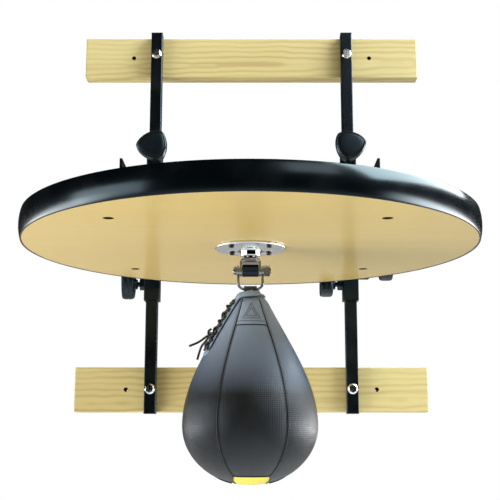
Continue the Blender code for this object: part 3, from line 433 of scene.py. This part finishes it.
def lace_end(name, route, replaced):
    """One end of the lace, a cord made in place of its CAD tube, which it hides."""
    points = catmull([CENTRE + Vector(p) * MM for p in route], 4)
    curve = bpy.data.curves.new(name, "CURVE")
    curve.dimensions = "3D"
    curve.bevel_depth = TAIL_RADIUS
    curve.bevel_resolution = 4
    curve.use_fill_caps = True
    spline = curve.splines.new("POLY")
    spline.points.add(len(points) - 1)
    for target, point in zip(spline.points, points):
        target.co = (*point, 1)
    obj = bpy.data.objects.new(name, curve)
    bpy.context.scene.collection.objects.link(obj)
    dress(obj, "leather_dark")
    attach(obj, "bag")
    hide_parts(replaced)
    return obj


for end in ("long", "short"):
    lace_end(f"lace_end_{end}", TAILS[f"lace_end_{end}"], f"lace_tail_{end}")


# Speed bag

BAG_TURN = math.radians(2.5)  # the front panel's middle, from straight ahead
PANELS = 6
PANEL_STEPS = 16
BAG_TOP = (12 * MM, -61 * MM)  # radius, and height from the platform's underside
BAG_SHOULDER = (34 * MM, -95 * MM)
BAG_BELLY = (88 * MM, -235 * MM)
BAG_BOTTOM = -310.5 * MM
FLANK = Vector((0.492, -0.870))  # the way the side runs down from the shoulder
QUARTER = 0.5523  # how far a Bezier's handles reach for a quarter of a circle
SEAM_DIP = 0.9 * MM
TIP_HEIGHT = -299.5 * MM  # where every other panel turns yellow
TIP_SPREAD = 0.97  # how much a yellow tip's angle grows, as a share of its panel's
TIP_FULL = 17 * MM  # the bag's radius where it has grown that much
EMBOSS_FADE = (-150 * MM, -185 * MM)  # from smooth to fully embossed
TOP_PALE_AND_PAINTED_LIGHT_FADE = (-200 * MM, -105 * MM)  # from the dark belly to the fully pale top, whose colour includes painted light


def bag_profile(steps):
    """The bag's side from neck to bottom, evenly spaced, as (radius, height)."""
    top, shoulder, belly = (Vector(p) for p in (BAG_TOP, BAG_SHOULDER, BAG_BELLY))
    bottom = Vector((0, BAG_BOTTOM))
    down = Vector((0, (belly.y - bottom.y) * QUARTER))
    out = Vector((belly.x * QUARTER, 0))
    stretches = (
        (top, top + Vector((5, -1.5)) * MM, shoulder - FLANK * 14 * MM, shoulder),
        (shoulder, shoulder + FLANK * 63 * MM, belly + Vector((0, 45 * MM)), belly),
        (belly, belly - down, bottom + out, bottom),
    )
    fine = []
    for stretch in stretches:
        fine += [Vector((p.x, p.y)) for p in interpolate_bezier(*stretch, 60)][:-1]
    fine.append(bottom)
    lengths = [0.0]
    for a, b in zip(fine, fine[1:]):
        lengths.append(lengths[-1] + (b - a).length)
    even = []
    k = 0
    for n in range(steps + 1):
        goal = lengths[-1] * n / steps
        while k < len(fine) - 2 and lengths[k + 1] < goal:
            k += 1
        t = (goal - lengths[k]) / (lengths[k + 1] - lengths[k])
        even.append((fine[k].lerp(fine[k + 1], t), goal))
    return even


PROFILE = bag_profile(240)


def profile_at(height):
    """Radius, outward normal's (radial, up) parts and length down the side, at a height."""
    for (a, s), (b, t) in zip(PROFILE, PROFILE[1:]):
        if b.y <= height <= a.y:
            share = (a.y - height) / (a.y - b.y)
            along = (b - a).normalized()
            return a.x + (b.x - a.x) * share, Vector((-along.y, along.x)), s + (t - s) * share
    end = PROFILE[-1] if height < PROFILE[-1][0].y else PROFILE[0]
    return end[0].x, Vector((0, -1)), end[1]


def puff(angle):
    """How far the skin dips towards a seam, at an angle from the front panel's middle."""
    width = 2 * math.pi / PANELS
    share = abs((angle + width / 2) % width - width / 2) / (width / 2)
    return -SEAM_DIP * share**6


def on_bag(angle, height, lift=0.0):
    """A point on the bag's skin. The angle is from straight ahead, growing to the right."""
    radius, normal, _ = profile_at(height)
    gather = min(1, radius / (30 * MM))
    out = lift + puff(angle - BAG_TURN) * gather
    reach = radius + normal.x * out
    return CENTRE + Vector(
        (math.sin(angle) * reach, -math.cos(angle) * reach, height + normal.y * out)
    )


def half_width(panel, height):
    """Half a panel's width as an angle. Below the tip line the tips spread and the rest taper."""
    half = math.pi / PANELS
    if height > TIP_HEIGHT:
        return half
    radius = profile_at(height)[0]
    start = profile_at(TIP_HEIGHT)[0]
    spread = TIP_SPREAD * min(1.0, max(0.0, (start - radius) / (start - TIP_FULL)))
    return half * (1 + spread) if panel % 2 == 0 else half * (1 - spread)


def share_between(height, start, end):
    """0 at the start and before it, 1 at the end and past it."""
    return min(1.0, max(0.0, (start - height) / (start - end)))


def bag_skin():
    """Six panels from neck to bottom. Every other one ends in a yellow tip."""
    bm = bmesh.new()
    uv = bm.loops.layers.uv.new("UVMap")
    emboss = bm.verts.layers.float.new("emboss")
    # Weight of the pale top colour, which includes painted light
    top_pale_and_painted_light = bm.verts.layers.float.new("top_pale_and_painted_light")
    rows = []
    heights = {point.y for point, _ in PROFILE[::3]} | {TIP_HEIGHT, TIP_HEIGHT + 1.2 * MM}
    heights = sorted(heights, reverse=True)[:-1]
    columns = PANELS * PANEL_STEPS
    half = math.pi / PANELS
    for height in heights:
        row = []
        for k in range(columns):
            panel = k // PANEL_STEPS
            share = k % PANEL_STEPS / PANEL_STEPS * 2 - 1
            angle = BAG_TURN + 2 * half * panel + share * half_width(panel, height)
            vertex = bm.verts.new(on_bag(angle, height))
            vertex[emboss] = share_between(height, *EMBOSS_FADE)
            vertex[top_pale_and_painted_light] = share_between(height, *TOP_PALE_AND_PAINTED_LIGHT_FADE)
            row.append(vertex)
        rows.append(row)
    for upper, lower, high, low in zip(rows, rows[1:], heights, heights[1:]):
        for k in range(columns):
            n = (k + 1) % columns
            face = bm.faces.new((upper[k], lower[k], lower[n], upper[n]))
            panel = k // PANEL_STEPS
            tip = high <= TIP_HEIGHT and panel % 2 == 0
            face.material_index = 1 if tip else 0
            corners = ((k, high), (k, low), (k + 1, low), (k + 1, high))
            for loop, (column, height) in zip(face.loops, corners):
                radius, _, length = profile_at(height)
                across = (column - panel * PANEL_STEPS) / PANEL_STEPS - 0.5
                loop[uv].uv = (across * radius * 2 * half + panel * 0.2, length)
    bottom = bm.verts.new(CENTRE + Z_AXIS * BAG_BOTTOM)
    bottom[emboss] = 1.0
    for k in range(columns):
        n = (k + 1) % columns
        face = bm.faces.new((rows[-1][k], bottom, rows[-1][n]))
        face.material_index = 1 if (k // PANEL_STEPS) % 2 == 0 else 0
    skin = piece_of("bag_skin", "bag", "leather", bm, "leather", "leather_yellow")
    thick = skin.modifiers.new("thickness", "SOLIDIFY")
    thick.thickness = 2 * MM
    thick.offset = -1
    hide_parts("bag_cover")
    return skin


def seam_angles():
    return [BAG_TURN + math.pi / PANELS * (2 * k + 1) for k in range(PANELS)]


def bag_piping():
    """A thin piped seam between panels, and one across the top of each yellow tip."""
    bm = bmesh.new()
    lowest = min(p.y for p, _ in PROFILE if p.x > 24 * MM)
    for panel in range(PANELS):
        top = -72 * MM
        heights = [top + (lowest - top) * math.sin(k / 80 * math.pi / 2) for k in range(81)]
        line = []
        for height in heights:
            angle = BAG_TURN + 2 * math.pi * panel / PANELS + half_width(panel, height)
            line.append(on_bag(angle, height, 0.35 * MM))
        add_tube(bm, line, 0.95 * MM, 8)
    for panel in range(0, PANELS, 2):
        middle_angle = BAG_TURN + 2 * math.pi * panel / PANELS
        half = math.pi / PANELS
        angles = [middle_angle - half + 2 * half * k / 24 for k in range(25)]
        add_tube(bm, [on_bag(a, TIP_HEIGHT + 0.4 * MM, 0.1 * MM) for a in angles], 0.7 * MM, 6)
    return piece_of("bag_piping", "bag", "leather", bm, "leather_dark")


bag_skin()
bag_piping()


# Smooth turned pieces


def revolve(name, body, slot, outline, finish, steps):
    """A closed outline of (radius, height) turned about the platform's middle."""
    bm = bmesh.new()
    rings = []
    for k in range(steps):
        angle = 2 * math.pi * k / steps
        turn = Vector((math.cos(angle), math.sin(angle), 0))
        rings.append([CENTRE + turn * r + Z_AXIS * z for r, z in outline])
    loft(bm, rings, around=True)
    return piece_of(name, body, slot, bm, finish)


def arc_points(start, end, bulge, steps):
    """Points from start to end (radius, height) along an arc that stands out by bulge."""
    a, b = Vector(start), Vector(end)
    half = (b - a).length / 2
    radius = (half**2 + bulge**2) / (2 * bulge)
    spread = math.asin(half / radius)
    along = (b - a).normalized()
    out = Vector((along.y, -along.x))
    middle_point = (a + b) / 2 - out * (radius - bulge)
    angles = [-spread + 2 * spread * k / steps for k in range(steps + 1)]
    return [
        tuple(middle_point + out * radius * math.cos(t) + along * radius * math.sin(t))
        for t in angles
    ]


BAND_BULGE = 2.2 * MM


def edge_band():
    """The moulded band round the platform, with a small lip over each edge of the board."""
    edge = PLATFORM_RADIUS - BAND_BULGE
    top = PLATFORM_THICKNESS
    lip = [(-2.4, 0.05), (-2.0, 0.55), (-1.1, 0.8), (-0.3, 0.55)]  # mm out from the edge, and off it
    below = [(edge + r * MM, -z * MM) for r, z in lip]
    above = [(edge + r * MM, top + z * MM) for r, z in reversed(lip)]
    side = arc_points((edge, 0.2 * MM), (edge, top - 0.2 * MM), BAND_BULGE, 14)
    inside = [(edge - 1.2 * MM, top * 0.9), (edge - 1.2 * MM, top * 0.1)]
    outline = below + side + above + inside
    band = revolve("edge_band", "carriage", "edge_band", outline, "edge_band", 256)
    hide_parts("platform_edge_band")


def flange():
    """The swivel's turned and plated flange, with its hub."""
    outline = [  # (radius, height) in mm
        (10.4, 0), (46.7, 0), (47.3, -0.5), (47.5, -1.3), (47.2, -2.3), (46.4, -2.9),
        (45.2, -3.0), (44.4, -2.75), (43.6, -2.7), (16.4, -2.7), (14.6, -3.1), (13.4, -4.3),
        (13.0, -6.0), (13.0, -11.0), (12.8, -12.0), (12.2, -12.7), (11.2, -13.0),
        (5.9, -13.0), (5.9, -10.2), (10.4, -10.1),
    ]
    outline = [(r * MM, z * MM) for r, z in outline]
    plate = revolve("flange", "carriage", "chrome", outline, "chrome", 128)
    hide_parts("swivel_flange")


edge_band()
flange()


# Painted shade on the walls of the sunk holes

FLOOR_STEP = 0.1 * MM
MOUTH = 0.25 * MM  # how far inside the hole's mouth its lining starts
OUTER_HOLES = (170 * MM, 240 * MM)  # how far from the middle the wall boards' outer holes may be
HOLE_END = (15 * MM, 20 * MM)  # how far behind a board's front they may end


def hole_linings(name, body, slot, spots, axis, radius, depth):
    """Painted shade in drilled holes: thin dark tubes just inside their walls, with a dark floor, where
    the holes lie in shadow.
    """
    bm = bmesh.new()
    across = axis.orthogonal().normalized()
    other = axis.cross(across)
    section = (  # (share of the radius, depth)
        (1.0, MOUTH), (0.985, depth), (0.6, depth), (0.58, depth - FLOOR_STEP),
        (0.955, depth - FLOOR_STEP), (0.965, MOUTH),
    )
    for spot in spots:
        rings = [circle(spot + axis * deep, across, other, radius * r, 32) for r, deep in section]
        loft(bm, rings, around=True)
    return piece_of(name, body, slot, bm, "painted_hole_shade")


def stud_hole_mouths():
    """Where the wall boards' four outer holes open, from the CAD edges at their far ends."""
    spots = []
    for board in ("wall_board_upper", "wall_board_lower"):
        obj = NODES[board]
        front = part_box(board)[0].y
        places = [obj.matrix_world @ vertex.co for vertex in obj.data.vertices]
        places = [p for p in places if HOLE_END[0] < p.y - front < HOLE_END[1]]
        for sign in (-1, 1):
            ring = [p for p in places if OUTER_HOLES[0] < p.x * sign < OUTER_HOLES[1]]
            if ring:
                lows = [min(p[k] for p in ring) for k in range(3)]
                highs = [max(p[k] for p in ring) for k in range(3)]
                spots.append(Vector(((lows[0] + highs[0]) / 2, front, (lows[2] + highs[2]) / 2)))
    return spots


recesses = [middle(n) for n in NODES if n.startswith("platform_bolt_")]
recesses = [Vector((p.x, p.y, CENTRE.z)) for p in recesses]
hole_linings("bolt_recesses", "carriage", "varnished_wood", recesses, Z_AXIS, 6.65 * MM, 7.8 * MM)
stud_holes = stud_hole_mouths()
hole_linings("stud_hole_walls", "wall_frame", "pine", stud_holes, Y_AXIS, 3.55 * MM, 17.8 * MM)


# Clamp knobs

LOBE_SHARE = 0.097  # how far a lobe stands out, as a share of the knob's mean radius
UPPER_SIZE = 1.12  # the two upper knobs' size, to that of the CAD ones
KNOB_SIDES = 96
HUB_SIDES = 40
HUB = (  # (radius, height above the knob's back) in mm
    (4.2, -4.2), (7.4, -4.2), (8.2, -3.6), (8.6, 0.0), (9.6, 0.9), (4.2, 0.9),
)
KNOB_RINGS = (  # (share of the outline, height above the knob's back in mm)
    (0.30, 0.9),
    (0.78, 0.5),
    (0.88, 0.7),
    (0.95, 1.9),
    (0.985, 4.0),
    (1.0, 7.0),
    (1.0, 9.4),
    (0.985, 9.8),
    (0.985, 10.4),
    (1.0, 10.8),
    (1.0, 14.2),
    (0.99, 16.6),
    (0.965, 18.8),
    (0.93, 20.2),
    (0.90, 20.6),
    (0.875, 20.3),
    (0.865, 19.5),
    (0.845, 19.4),
    (0.83, 20.0),
    (0.80, 20.4),
    (0.60, 20.8),
    (0.35, 21.0),
    (0.12, 21.0),
)


def knob_seat(name):
    """A CAD knob's centre, axis, way across, mean radius, lobes' angle and back."""
    cad = NODES[f"clamp_knob_{name}"]
    low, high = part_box(f"clamp_stud_{name}")
    size = high - low
    along = max(range(3), key=lambda k: size[k])
    axis = Vector([float(k == along) for k in range(3)])
    if middle(f"clamp_knob_{name}")[along] < (low[along] + high[along]) / 2:
        axis = -axis
    centre = (low + high) / 2
    across = Z_AXIS.cross(axis)
    points = [cad.matrix_world @ v.co - centre for v in cad.data.vertices]
    flat = [complex(p.dot(across), p.z) for p in points]
    mean = max(abs(f) for f in flat) / (1 + LOBE_SHARE)
    ring = [f for f in flat if abs(f) > mean * 0.8]
    total = sum(abs(f) * (f / abs(f)) ** 3 for f in ring)
    lobe_angle = math.atan2(total.imag, total.real) / 3
    back = min(p.dot(axis) for p, f in zip(points, flat) if abs(f) > mean * 0.5)
    return centre, axis, across, mean, lobe_angle, back


def knob(name):
    """A moulded three-lobed knob with a groove round its face, and the hub behind it."""
    centre, axis, across, mean, lobe_angle, back = knob_seat(name)
    mean *= UPPER_SIZE if name.startswith("upper") else 1.0
    turned = complex(math.cos(lobe_angle), math.sin(lobe_angle))
    bm = bmesh.new()
    rings = []
    for share, height in KNOB_RINGS:
        lobe = mean * LOBE_SHARE * min(1, share * 1.1)
        lift = axis * (back + height * MM)
        row = []
        for k in range(KNOB_SIDES):
            angle = 2 * math.pi * k / KNOB_SIDES
            reach = mean + lobe * math.cos(3 * angle)
            slope = -3 * lobe * math.sin(3 * angle)
            x = reach * math.cos(angle) - slope * math.sin(angle)
            y = reach * math.sin(angle) + slope * math.cos(angle)
            spot = complex(x, y) * share * turned
            row.append(centre + across * spot.real + Z_AXIS * spot.imag + lift)
        rings.append(row)
    loft(bm, rings)
    hub_rings = []
    for out in circle(Vector((0, 0, 0)), across, Z_AXIS, 1.0, HUB_SIDES):
        hub_rings.append([centre + out * r * MM + axis * (back + z * MM) for r, z in HUB])
    loft(bm, hub_rings, around=True)
    obj = piece_of(f"knob_{name}", f"knob_{name}", "black_plastic", bm, "black_plastic")
    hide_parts(f"clamp_knob_{name}")


for node in NODES:
    if node.startswith("clamp_knob_"):
        knob(node.removeprefix("clamp_knob_"))


# Bag top: collar, facings beside the slit, eyelets, lacing, stitching and strap

SLIT_ANGLE = math.radians(-74)  # from straight ahead
ROWS = [(-78 - 10 * k) * MM for k in range(7)]  # the eyelets' heights
EYELET_REACH = 7 * MM  # from the slit's middle to an eyelet's
LACE_RADIUS = 1.45 * MM
COLLAR_TILT = 2.6  # mm, how much lower the collar is at the slit


def beside_slit(distance, height, lift):
    """A point on the bag at a distance round the bag from the slit; the front side is positive."""
    radius = max(profile_at(height)[0], 6 * MM)
    return on_bag(SLIT_ANGLE + distance / radius, height, lift)


def bag_collar():
    """The folded collar round the neck, and a facing along each side of the slit."""
    bm = bmesh.new()
    section = (  # (height, lift) in mm
        (-60.6, 0.2), (-60.2, 1.1), (-60.9, 2.0), (-62.5, 2.2), (-67.5, 2.0), (-69.2, 1.7),
        (-69.8, 0.9), (-69.6, -0.3), (-64, -0.3),
    )
    rings = []
    for k in range(73):
        angle = SLIT_ANGLE + math.radians(12 + 336 * k / 72)
        tilt = COLLAR_TILT * math.cos(angle - SLIT_ANGLE)
        rings.append([on_bag(angle, (h - tilt) * MM, lift * MM) for h, lift in section])
    loft(bm, rings)
    for side in (-1, 1):
        rings = []
        for k in range(41):
            height = (-66 - 80 * k / 40) * MM
            end = max(0.0, (k - 34) / 6)
            outer = 13.0 - 6.5 * (1 - math.sqrt(max(0.0, 1 - end * end)))
            section = (
                (2.2, -0.4), (2.2, 1.1), (2.8, 1.5), (8, 1.7), (outer - 0.6, 1.5), (outer, 1.0),
                (outer, -0.4),
            )
            rings.append([beside_slit(side * d * MM, height, lift * MM) for d, lift in section])
        loft(bm, rings)
    return piece_of("bag_collar", "bag", "leather", bm, "leather_plain")


def bag_edging():
    """Dark piping round the collar and the facings, and the tongue seen in the slit."""
    bm = bmesh.new()
    angles = [SLIT_ANGLE + math.radians(24 + 312 * k / 60) for k in range(61)]
    tilts = [COLLAR_TILT * math.cos(a - SLIT_ANGLE) for a in angles]
    lower = [on_bag(a, (-69.9 - t) * MM, 1.5 * MM) for a, t in zip(angles, tilts)]
    sides = []
    for side in (1, -1):
        line = []
        for k in range(30):
            height = (-76 - 69 * k / 29) * MM
            end = max(0.0, (k - 25) / 4)
            outer = 13.2 - 6.5 * (1 - math.sqrt(max(0.0, 1 - end * end)))
            line.append(beside_slit(side * outer * MM, height, 1.2 * MM))
        sides.append(line)
    front, rear = sides
    add_tube(bm, catmull(list(reversed(front))[::3] + lower[3:-3:6] + rear[::3], 6), 0.85 * MM, 8)
    section = ((-2.4, -0.5), (-2.4, 0.5), (0, 0.9), (2.4, 0.5), (2.4, -0.5))
    tongue = []
    for k in range(33):
        height = (-66 - 78 * k / 32) * MM
        tongue.append([beside_slit(d * MM, height, lift * MM) for d, lift in section])
    loft(bm, tongue)
    return piece_of("bag_edging", "bag", "leather", bm, "leather_dark")


def torus(bm, centre, normal, radius, tube, steps=20, sides=8):
    """A round ring about a normal."""
    across = normal.orthogonal().normalized()
    rings = []
    for out in circle(Vector((0, 0, 0)), across, normal.cross(across), 1.0, steps):
        rings.append(circle(centre + out * radius, out, normal, tube, sides))
    loft(bm, rings, around=True)


def bag_lacing():
    """Two crossing strands through the rows of eyelets, and the wrap that ties them off."""
    bm = bmesh.new()
    for strand in (1, -1):
        points = [beside_slit(strand * 2 * MM, ROWS[0] + 5 * MM, 1.8 * MM)]
        for k, height in enumerate(ROWS):
            side = strand * (1 if k % 2 == 0 else -1)
            points.append(beside_slit(side * (EYELET_REACH + 0.8 * MM), height, 2.4 * MM))
            points.append(beside_slit(side * EYELET_REACH, height - 1.6 * MM, 2.9 * MM))
            if k < len(ROWS) - 1:
                level = 3.4 * MM if strand == 1 else 5.6 * MM
                points.append(beside_slit(0, height - 5 * MM, level))
        add_tube(bm, catmull(points, 5), LACE_RADIUS, 10)
    bridge = ((-7, 1.2), (-4, 2.9), (0, 3.3), (4, 2.9), (7, 1.2))
    for height in ROWS:
        points = [beside_slit(d * MM, height + 0.4 * MM, lift * MM) for d, lift in bridge]
        add_tube(bm, catmull(points, 4), 1.3 * MM, 8)
    start = CENTRE + Vector(TAILS["lace_end_long"][0]) * MM
    stop = CENTRE + Vector(TAILS["lace_end_short"][0]) * MM
    wrap = [start]
    for d, height, lift in ((-8, -118, 4.2), (-3, -119.5, 7.4), (3, -120.5, 7.4), (8, -121.5, 4.2)):
        wrap.append(beside_slit(d * MM, height * MM, lift * MM))
    add_tube(bm, catmull(wrap + [stop], 6), LACE_RADIUS, 10)
    knot = beside_slit(0, -120 * MM, 7.2 * MM)
    loop = ((1.5, -1, 5), (-1.8, 0, 3), (-2.6, 0.6, 0), (-1.8, 0.4, -3), (1.5, 1, -5))
    add_tube(bm, catmull([knot + Vector(p) * MM for p in loop], 5), 1.5 * MM, 10)
    for height in ROWS:
        for side in (-1, 1):
            centre = beside_slit(side * EYELET_REACH, height, 1.8 * MM)
            normal = (beside_slit(side * EYELET_REACH, height, 5 * MM) - centre).normalized()
            torus(bm, centre, normal, 2.5 * MM, 0.6 * MM)
    lacing = piece_of("bag_lacing", "bag", "leather", bm, "leather_dark")
    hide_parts("bag_lace")


def stitches(bm, points, length=2.3 * MM, gap=1.1 * MM, radius=0.42 * MM):
    """A row of sewn stitches along a line of points that lie on the leather."""
    step = length + gap
    total = line_length(points)
    count = max(1, int(total / step))
    for n in range(count):
        ends = []
        for goal in (n * step + gap / 2, n * step + gap / 2 + length):
            run = 0.0
            for a, b in zip(points, points[1:]):
                piece = (b - a).length
                if run + piece >= goal:
                    break
                run += piece
            ends.append(a.lerp(b, min(1.0, (goal - run) / max(piece, 1e-9))))
        add_tube(bm, [ends[0], (ends[0] + ends[1]) / 2, ends[1]], radius, 6)


def between(start, end, lift, steps=16):
    """A line over the bag between two (degrees from the front panel's middle, mm high) spots."""
    line = []
    for k in range(steps + 1):
        share = k / steps
        angle = BAG_TURN + math.radians(start[0] + (end[0] - start[0]) * share)
        line.append(on_bag(angle, (start[1] + (end[1] - start[1]) * share) * MM, lift * MM))
    return line


def bag_stitching():
    """The front patch's lower seam and its stitches, and a row each side of every panel seam."""
    bm = bmesh.new()
    seam = between((-29.5, -109), (29.5, -109), 0.5)
    add_tube(bm, seam, 0.7 * MM, 8)
    stitches(bm, between((-28, -104), (28, -104), 0.75, 24))
    for corners in (
        ((0, -78.5), (18, -100), (-18, -100)),
        ((0, -85), (11.5, -97), (-11.5, -97)),
    ):
        for start, end in zip(corners, corners[1:] + corners[:1]):
            stitches(bm, between(start, end, 0.75), 1.9 * MM, 0.9 * MM, 0.4 * MM)
    for angle in seam_angles():
        for side in (-1, 1):
            line = []
            for k in range(60):
                height = (-74 - 212 * k / 59) * MM
                radius = profile_at(height)[0]
                line.append(on_bag(angle + side * 2.4 * MM / radius, height, 0.1 * MM))
            stitches(bm, line, 2.6 * MM, 1.5 * MM, 0.26 * MM)
    return piece_of("bag_stitching", "bag", "leather", bm, "leather_dark")


def front_patch():
    """A second layer of leather on the top of the front panel."""
    bm = bmesh.new()
    section = (  # (height, lift) in mm
        (-70, -0.3), (-70, 0.6), (-79, 0.6), (-88, 0.6), (-98, 0.6), (-108.1, 0.55),
        (-108.9, 0.2), (-108.9, -0.3),
    )
    rings = []
    for k in range(25):
        angle = BAG_TURN + math.radians(-28 + 56 * k / 24)
        rings.append([on_bag(angle, h * MM, lift * MM) for h, lift in section])
    loft(bm, rings)
    return piece_of("front_patch", "bag", "leather", bm, "leather_plain")


def strap():
    """The sewn webbing loop over the shackle's bar, wider where it goes into the neck."""
    low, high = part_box("strap_loop")
    thick = 1.0 * MM
    bar = CENTRE + Z_AXIS * (high.z - CENTRE.z - (high.y - low.y) / 2)
    outer = (high.y - low.y) / 2 - thick
    section = (  # shares of the strap's half width and half thickness
        (-1, -0.55), (-0.93, -1), (0.93, -1), (1, -0.55), (1, 0.55), (0.93, 1), (0.4, 1.12),
        (-0.4, 1.12), (-0.93, 1), (-1, 0.55),
    )
    path = []
    bottom = low.z - bar.z
    for k in range(9):
        path.append(Vector((0, -outer, bottom * (8 - k) / 8)))
    for k in range(1, 12):
        angle = math.pi * k / 12
        path.append(Vector((0, -outer * math.cos(angle), outer * math.sin(angle))))
    for k in range(9):
        path.append(Vector((0, outer, bottom * k / 8)))
    bm = bmesh.new()
    rings = []
    for k, point in enumerate(path):
        before, after = path[max(k - 1, 0)], path[min(k + 1, len(path) - 1)]
        tangent = (after - before).normalized()
        normal = tangent.cross(X_AXIS)
        wide = (8.6 + 1.9 * min(1, max(0, -point.z / (20 * MM)))) * MM
        rings.append([bar + point + X_AXIS * x * wide + normal * n * thick for x, n in section])
    loft(bm, rings)
    loop = piece_of("strap", "bag", "leather", bm, "webbing")
    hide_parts("strap_loop")


bag_collar()
bag_edging()
bag_lacing()
front_patch()
bag_stitching()
strap()


# Floor, light and world

FLOOR_Z = -2.0
FLOOR_REACH = 9
corners = [(x * FLOOR_REACH, y * FLOOR_REACH, FLOOR_Z) for x, y in ((-1, -1), (1, -1), (1, 1), (-1, 1))]
floor_mesh = bpy.data.meshes.new("floor")
floor_mesh.from_pydata(corners, [], [(0, 1, 2, 3)])
floor = bpy.data.objects.new("floor", floor_mesh)
bpy.context.scene.collection.objects.link(floor)
floor_paint = Paint("floor", (0.86, 0.86, 0.85), 0.7)
clouds = floor_paint.noise(floor_paint.mapped((1, 1, 1)), 3.0)
floor_paint.colour(floor_paint.mix(clouds, (0.87, 0.87, 0.86), (0.84, 0.84, 0.835)))
floor.data.materials.append(floor_paint.material)


def softbox(name, direction, distance, size, radiance, tint=(1, 1, 1), shiny=True):
    """An area light, aimed at the platform's centre. One that isn't shiny shows in no reflection."""
    data = bpy.data.lights.new(name, "AREA")
    data.shape = "RECTANGLE"
    data.size, data.size_y = size
    data.energy = radiance * math.pi * size[0] * size[1]
    data.color = tint
    light = bpy.data.objects.new(name, data)
    light.location = CENTRE + Vector(direction).normalized() * distance
    light.rotation_euler = (CENTRE - light.location).to_track_quat("-Z", "Y").to_euler()
    light.visible_glossy = shiny
    bpy.context.scene.collection.objects.link(light)


# A broad cool bank on the right, a narrow strip on the left, and two small fills
softbox("right_bank", (0.72, -0.02, 0.62), 1.9, (2.4, 1.3), 14.0, (0.9, 0.98, 1.0))
softbox("left_bank", (-0.88, -0.42, 0.06), 1.9, (1.3, 0.55), 3.6, (0.88, 0.97, 1.0))
softbox("front_fill", (0.42, -0.78, 0.5), 2.6, (1.0, 0.8), 2.5)
softbox("front_low", (-0.85, -0.3, -0.75), 1.5, (0.9, 0.9), 8.0, (1.0, 0.95, 0.84), shiny=False)

world = bpy.data.worlds.new("studio")
bpy.context.scene.world = world
world.use_nodes = True
tree = world.node_tree
where = tree.nodes.new("ShaderNodeTexCoord")
split = tree.nodes.new("ShaderNodeSeparateXYZ")
tree.links.new(where.outputs["Generated"], split.inputs[0])


def ramp(axis, start, end, low, high):
    """A value that goes from low to high as a ray's direction goes from start to end on an axis."""
    node = tree.nodes.new("ShaderNodeMapRange")
    for name, value in (("From Min", start), ("From Max", end), ("To Min", low), ("To Max", high)):
        node.inputs[name].default_value = value
    tree.links.new(split.outputs[axis], node.inputs["Value"])
    return node.outputs["Result"]


def combine(operation, a, b):
    node = tree.nodes.new("ShaderNodeMath")
    node.operation = operation
    tree.links.new(a, node.inputs[0])
    tree.links.new(b, node.inputs[1])
    return node.outputs[0]


def choose(ray, without, when):
    """One strength for all rays but one kind, and another for that kind."""
    node = tree.nodes.new("ShaderNodeMix")
    tree.links.new(path.outputs[ray], node.inputs["Factor"])
    for socket, value in (("A", without), ("B", when)):
        if isinstance(value, float):
            node.inputs[socket].default_value = value
        else:
            tree.links.new(value, node.inputs[socket])
    return node.outputs["Result"]


# What glossy rays meet: a pale back wall that darkens upwards, and a low panel at each side
path = tree.nodes.new("ShaderNodeLightPath")
wall = combine("MULTIPLY", ramp("Y", 0.1, 0.9, 0.01, 1.0), ramp("Z", -0.22, -0.06, 1.0, 0.02))
panels = combine("ADD", ramp("X", -0.62, -0.82, 0.0, 8.0), ramp("X", 0.5, 0.75, 0.0, 15.0))
reach = combine("MULTIPLY", ramp("Y", -0.45, -0.05, 0.0, 1.0), ramp("Z", 0.08, 0.0, 0.0, 1.0))
reflected = combine("ADD", wall, combine("MULTIPLY", panels, reach))
strength = choose("Is Camera Ray", choose("Is Glossy Ray", 0.5, reflected), 1.0)
background = tree.nodes["Background"]
background.inputs["Color"].default_value = (1, 1, 1, 1)
tree.links.new(strength, background.inputs["Strength"])
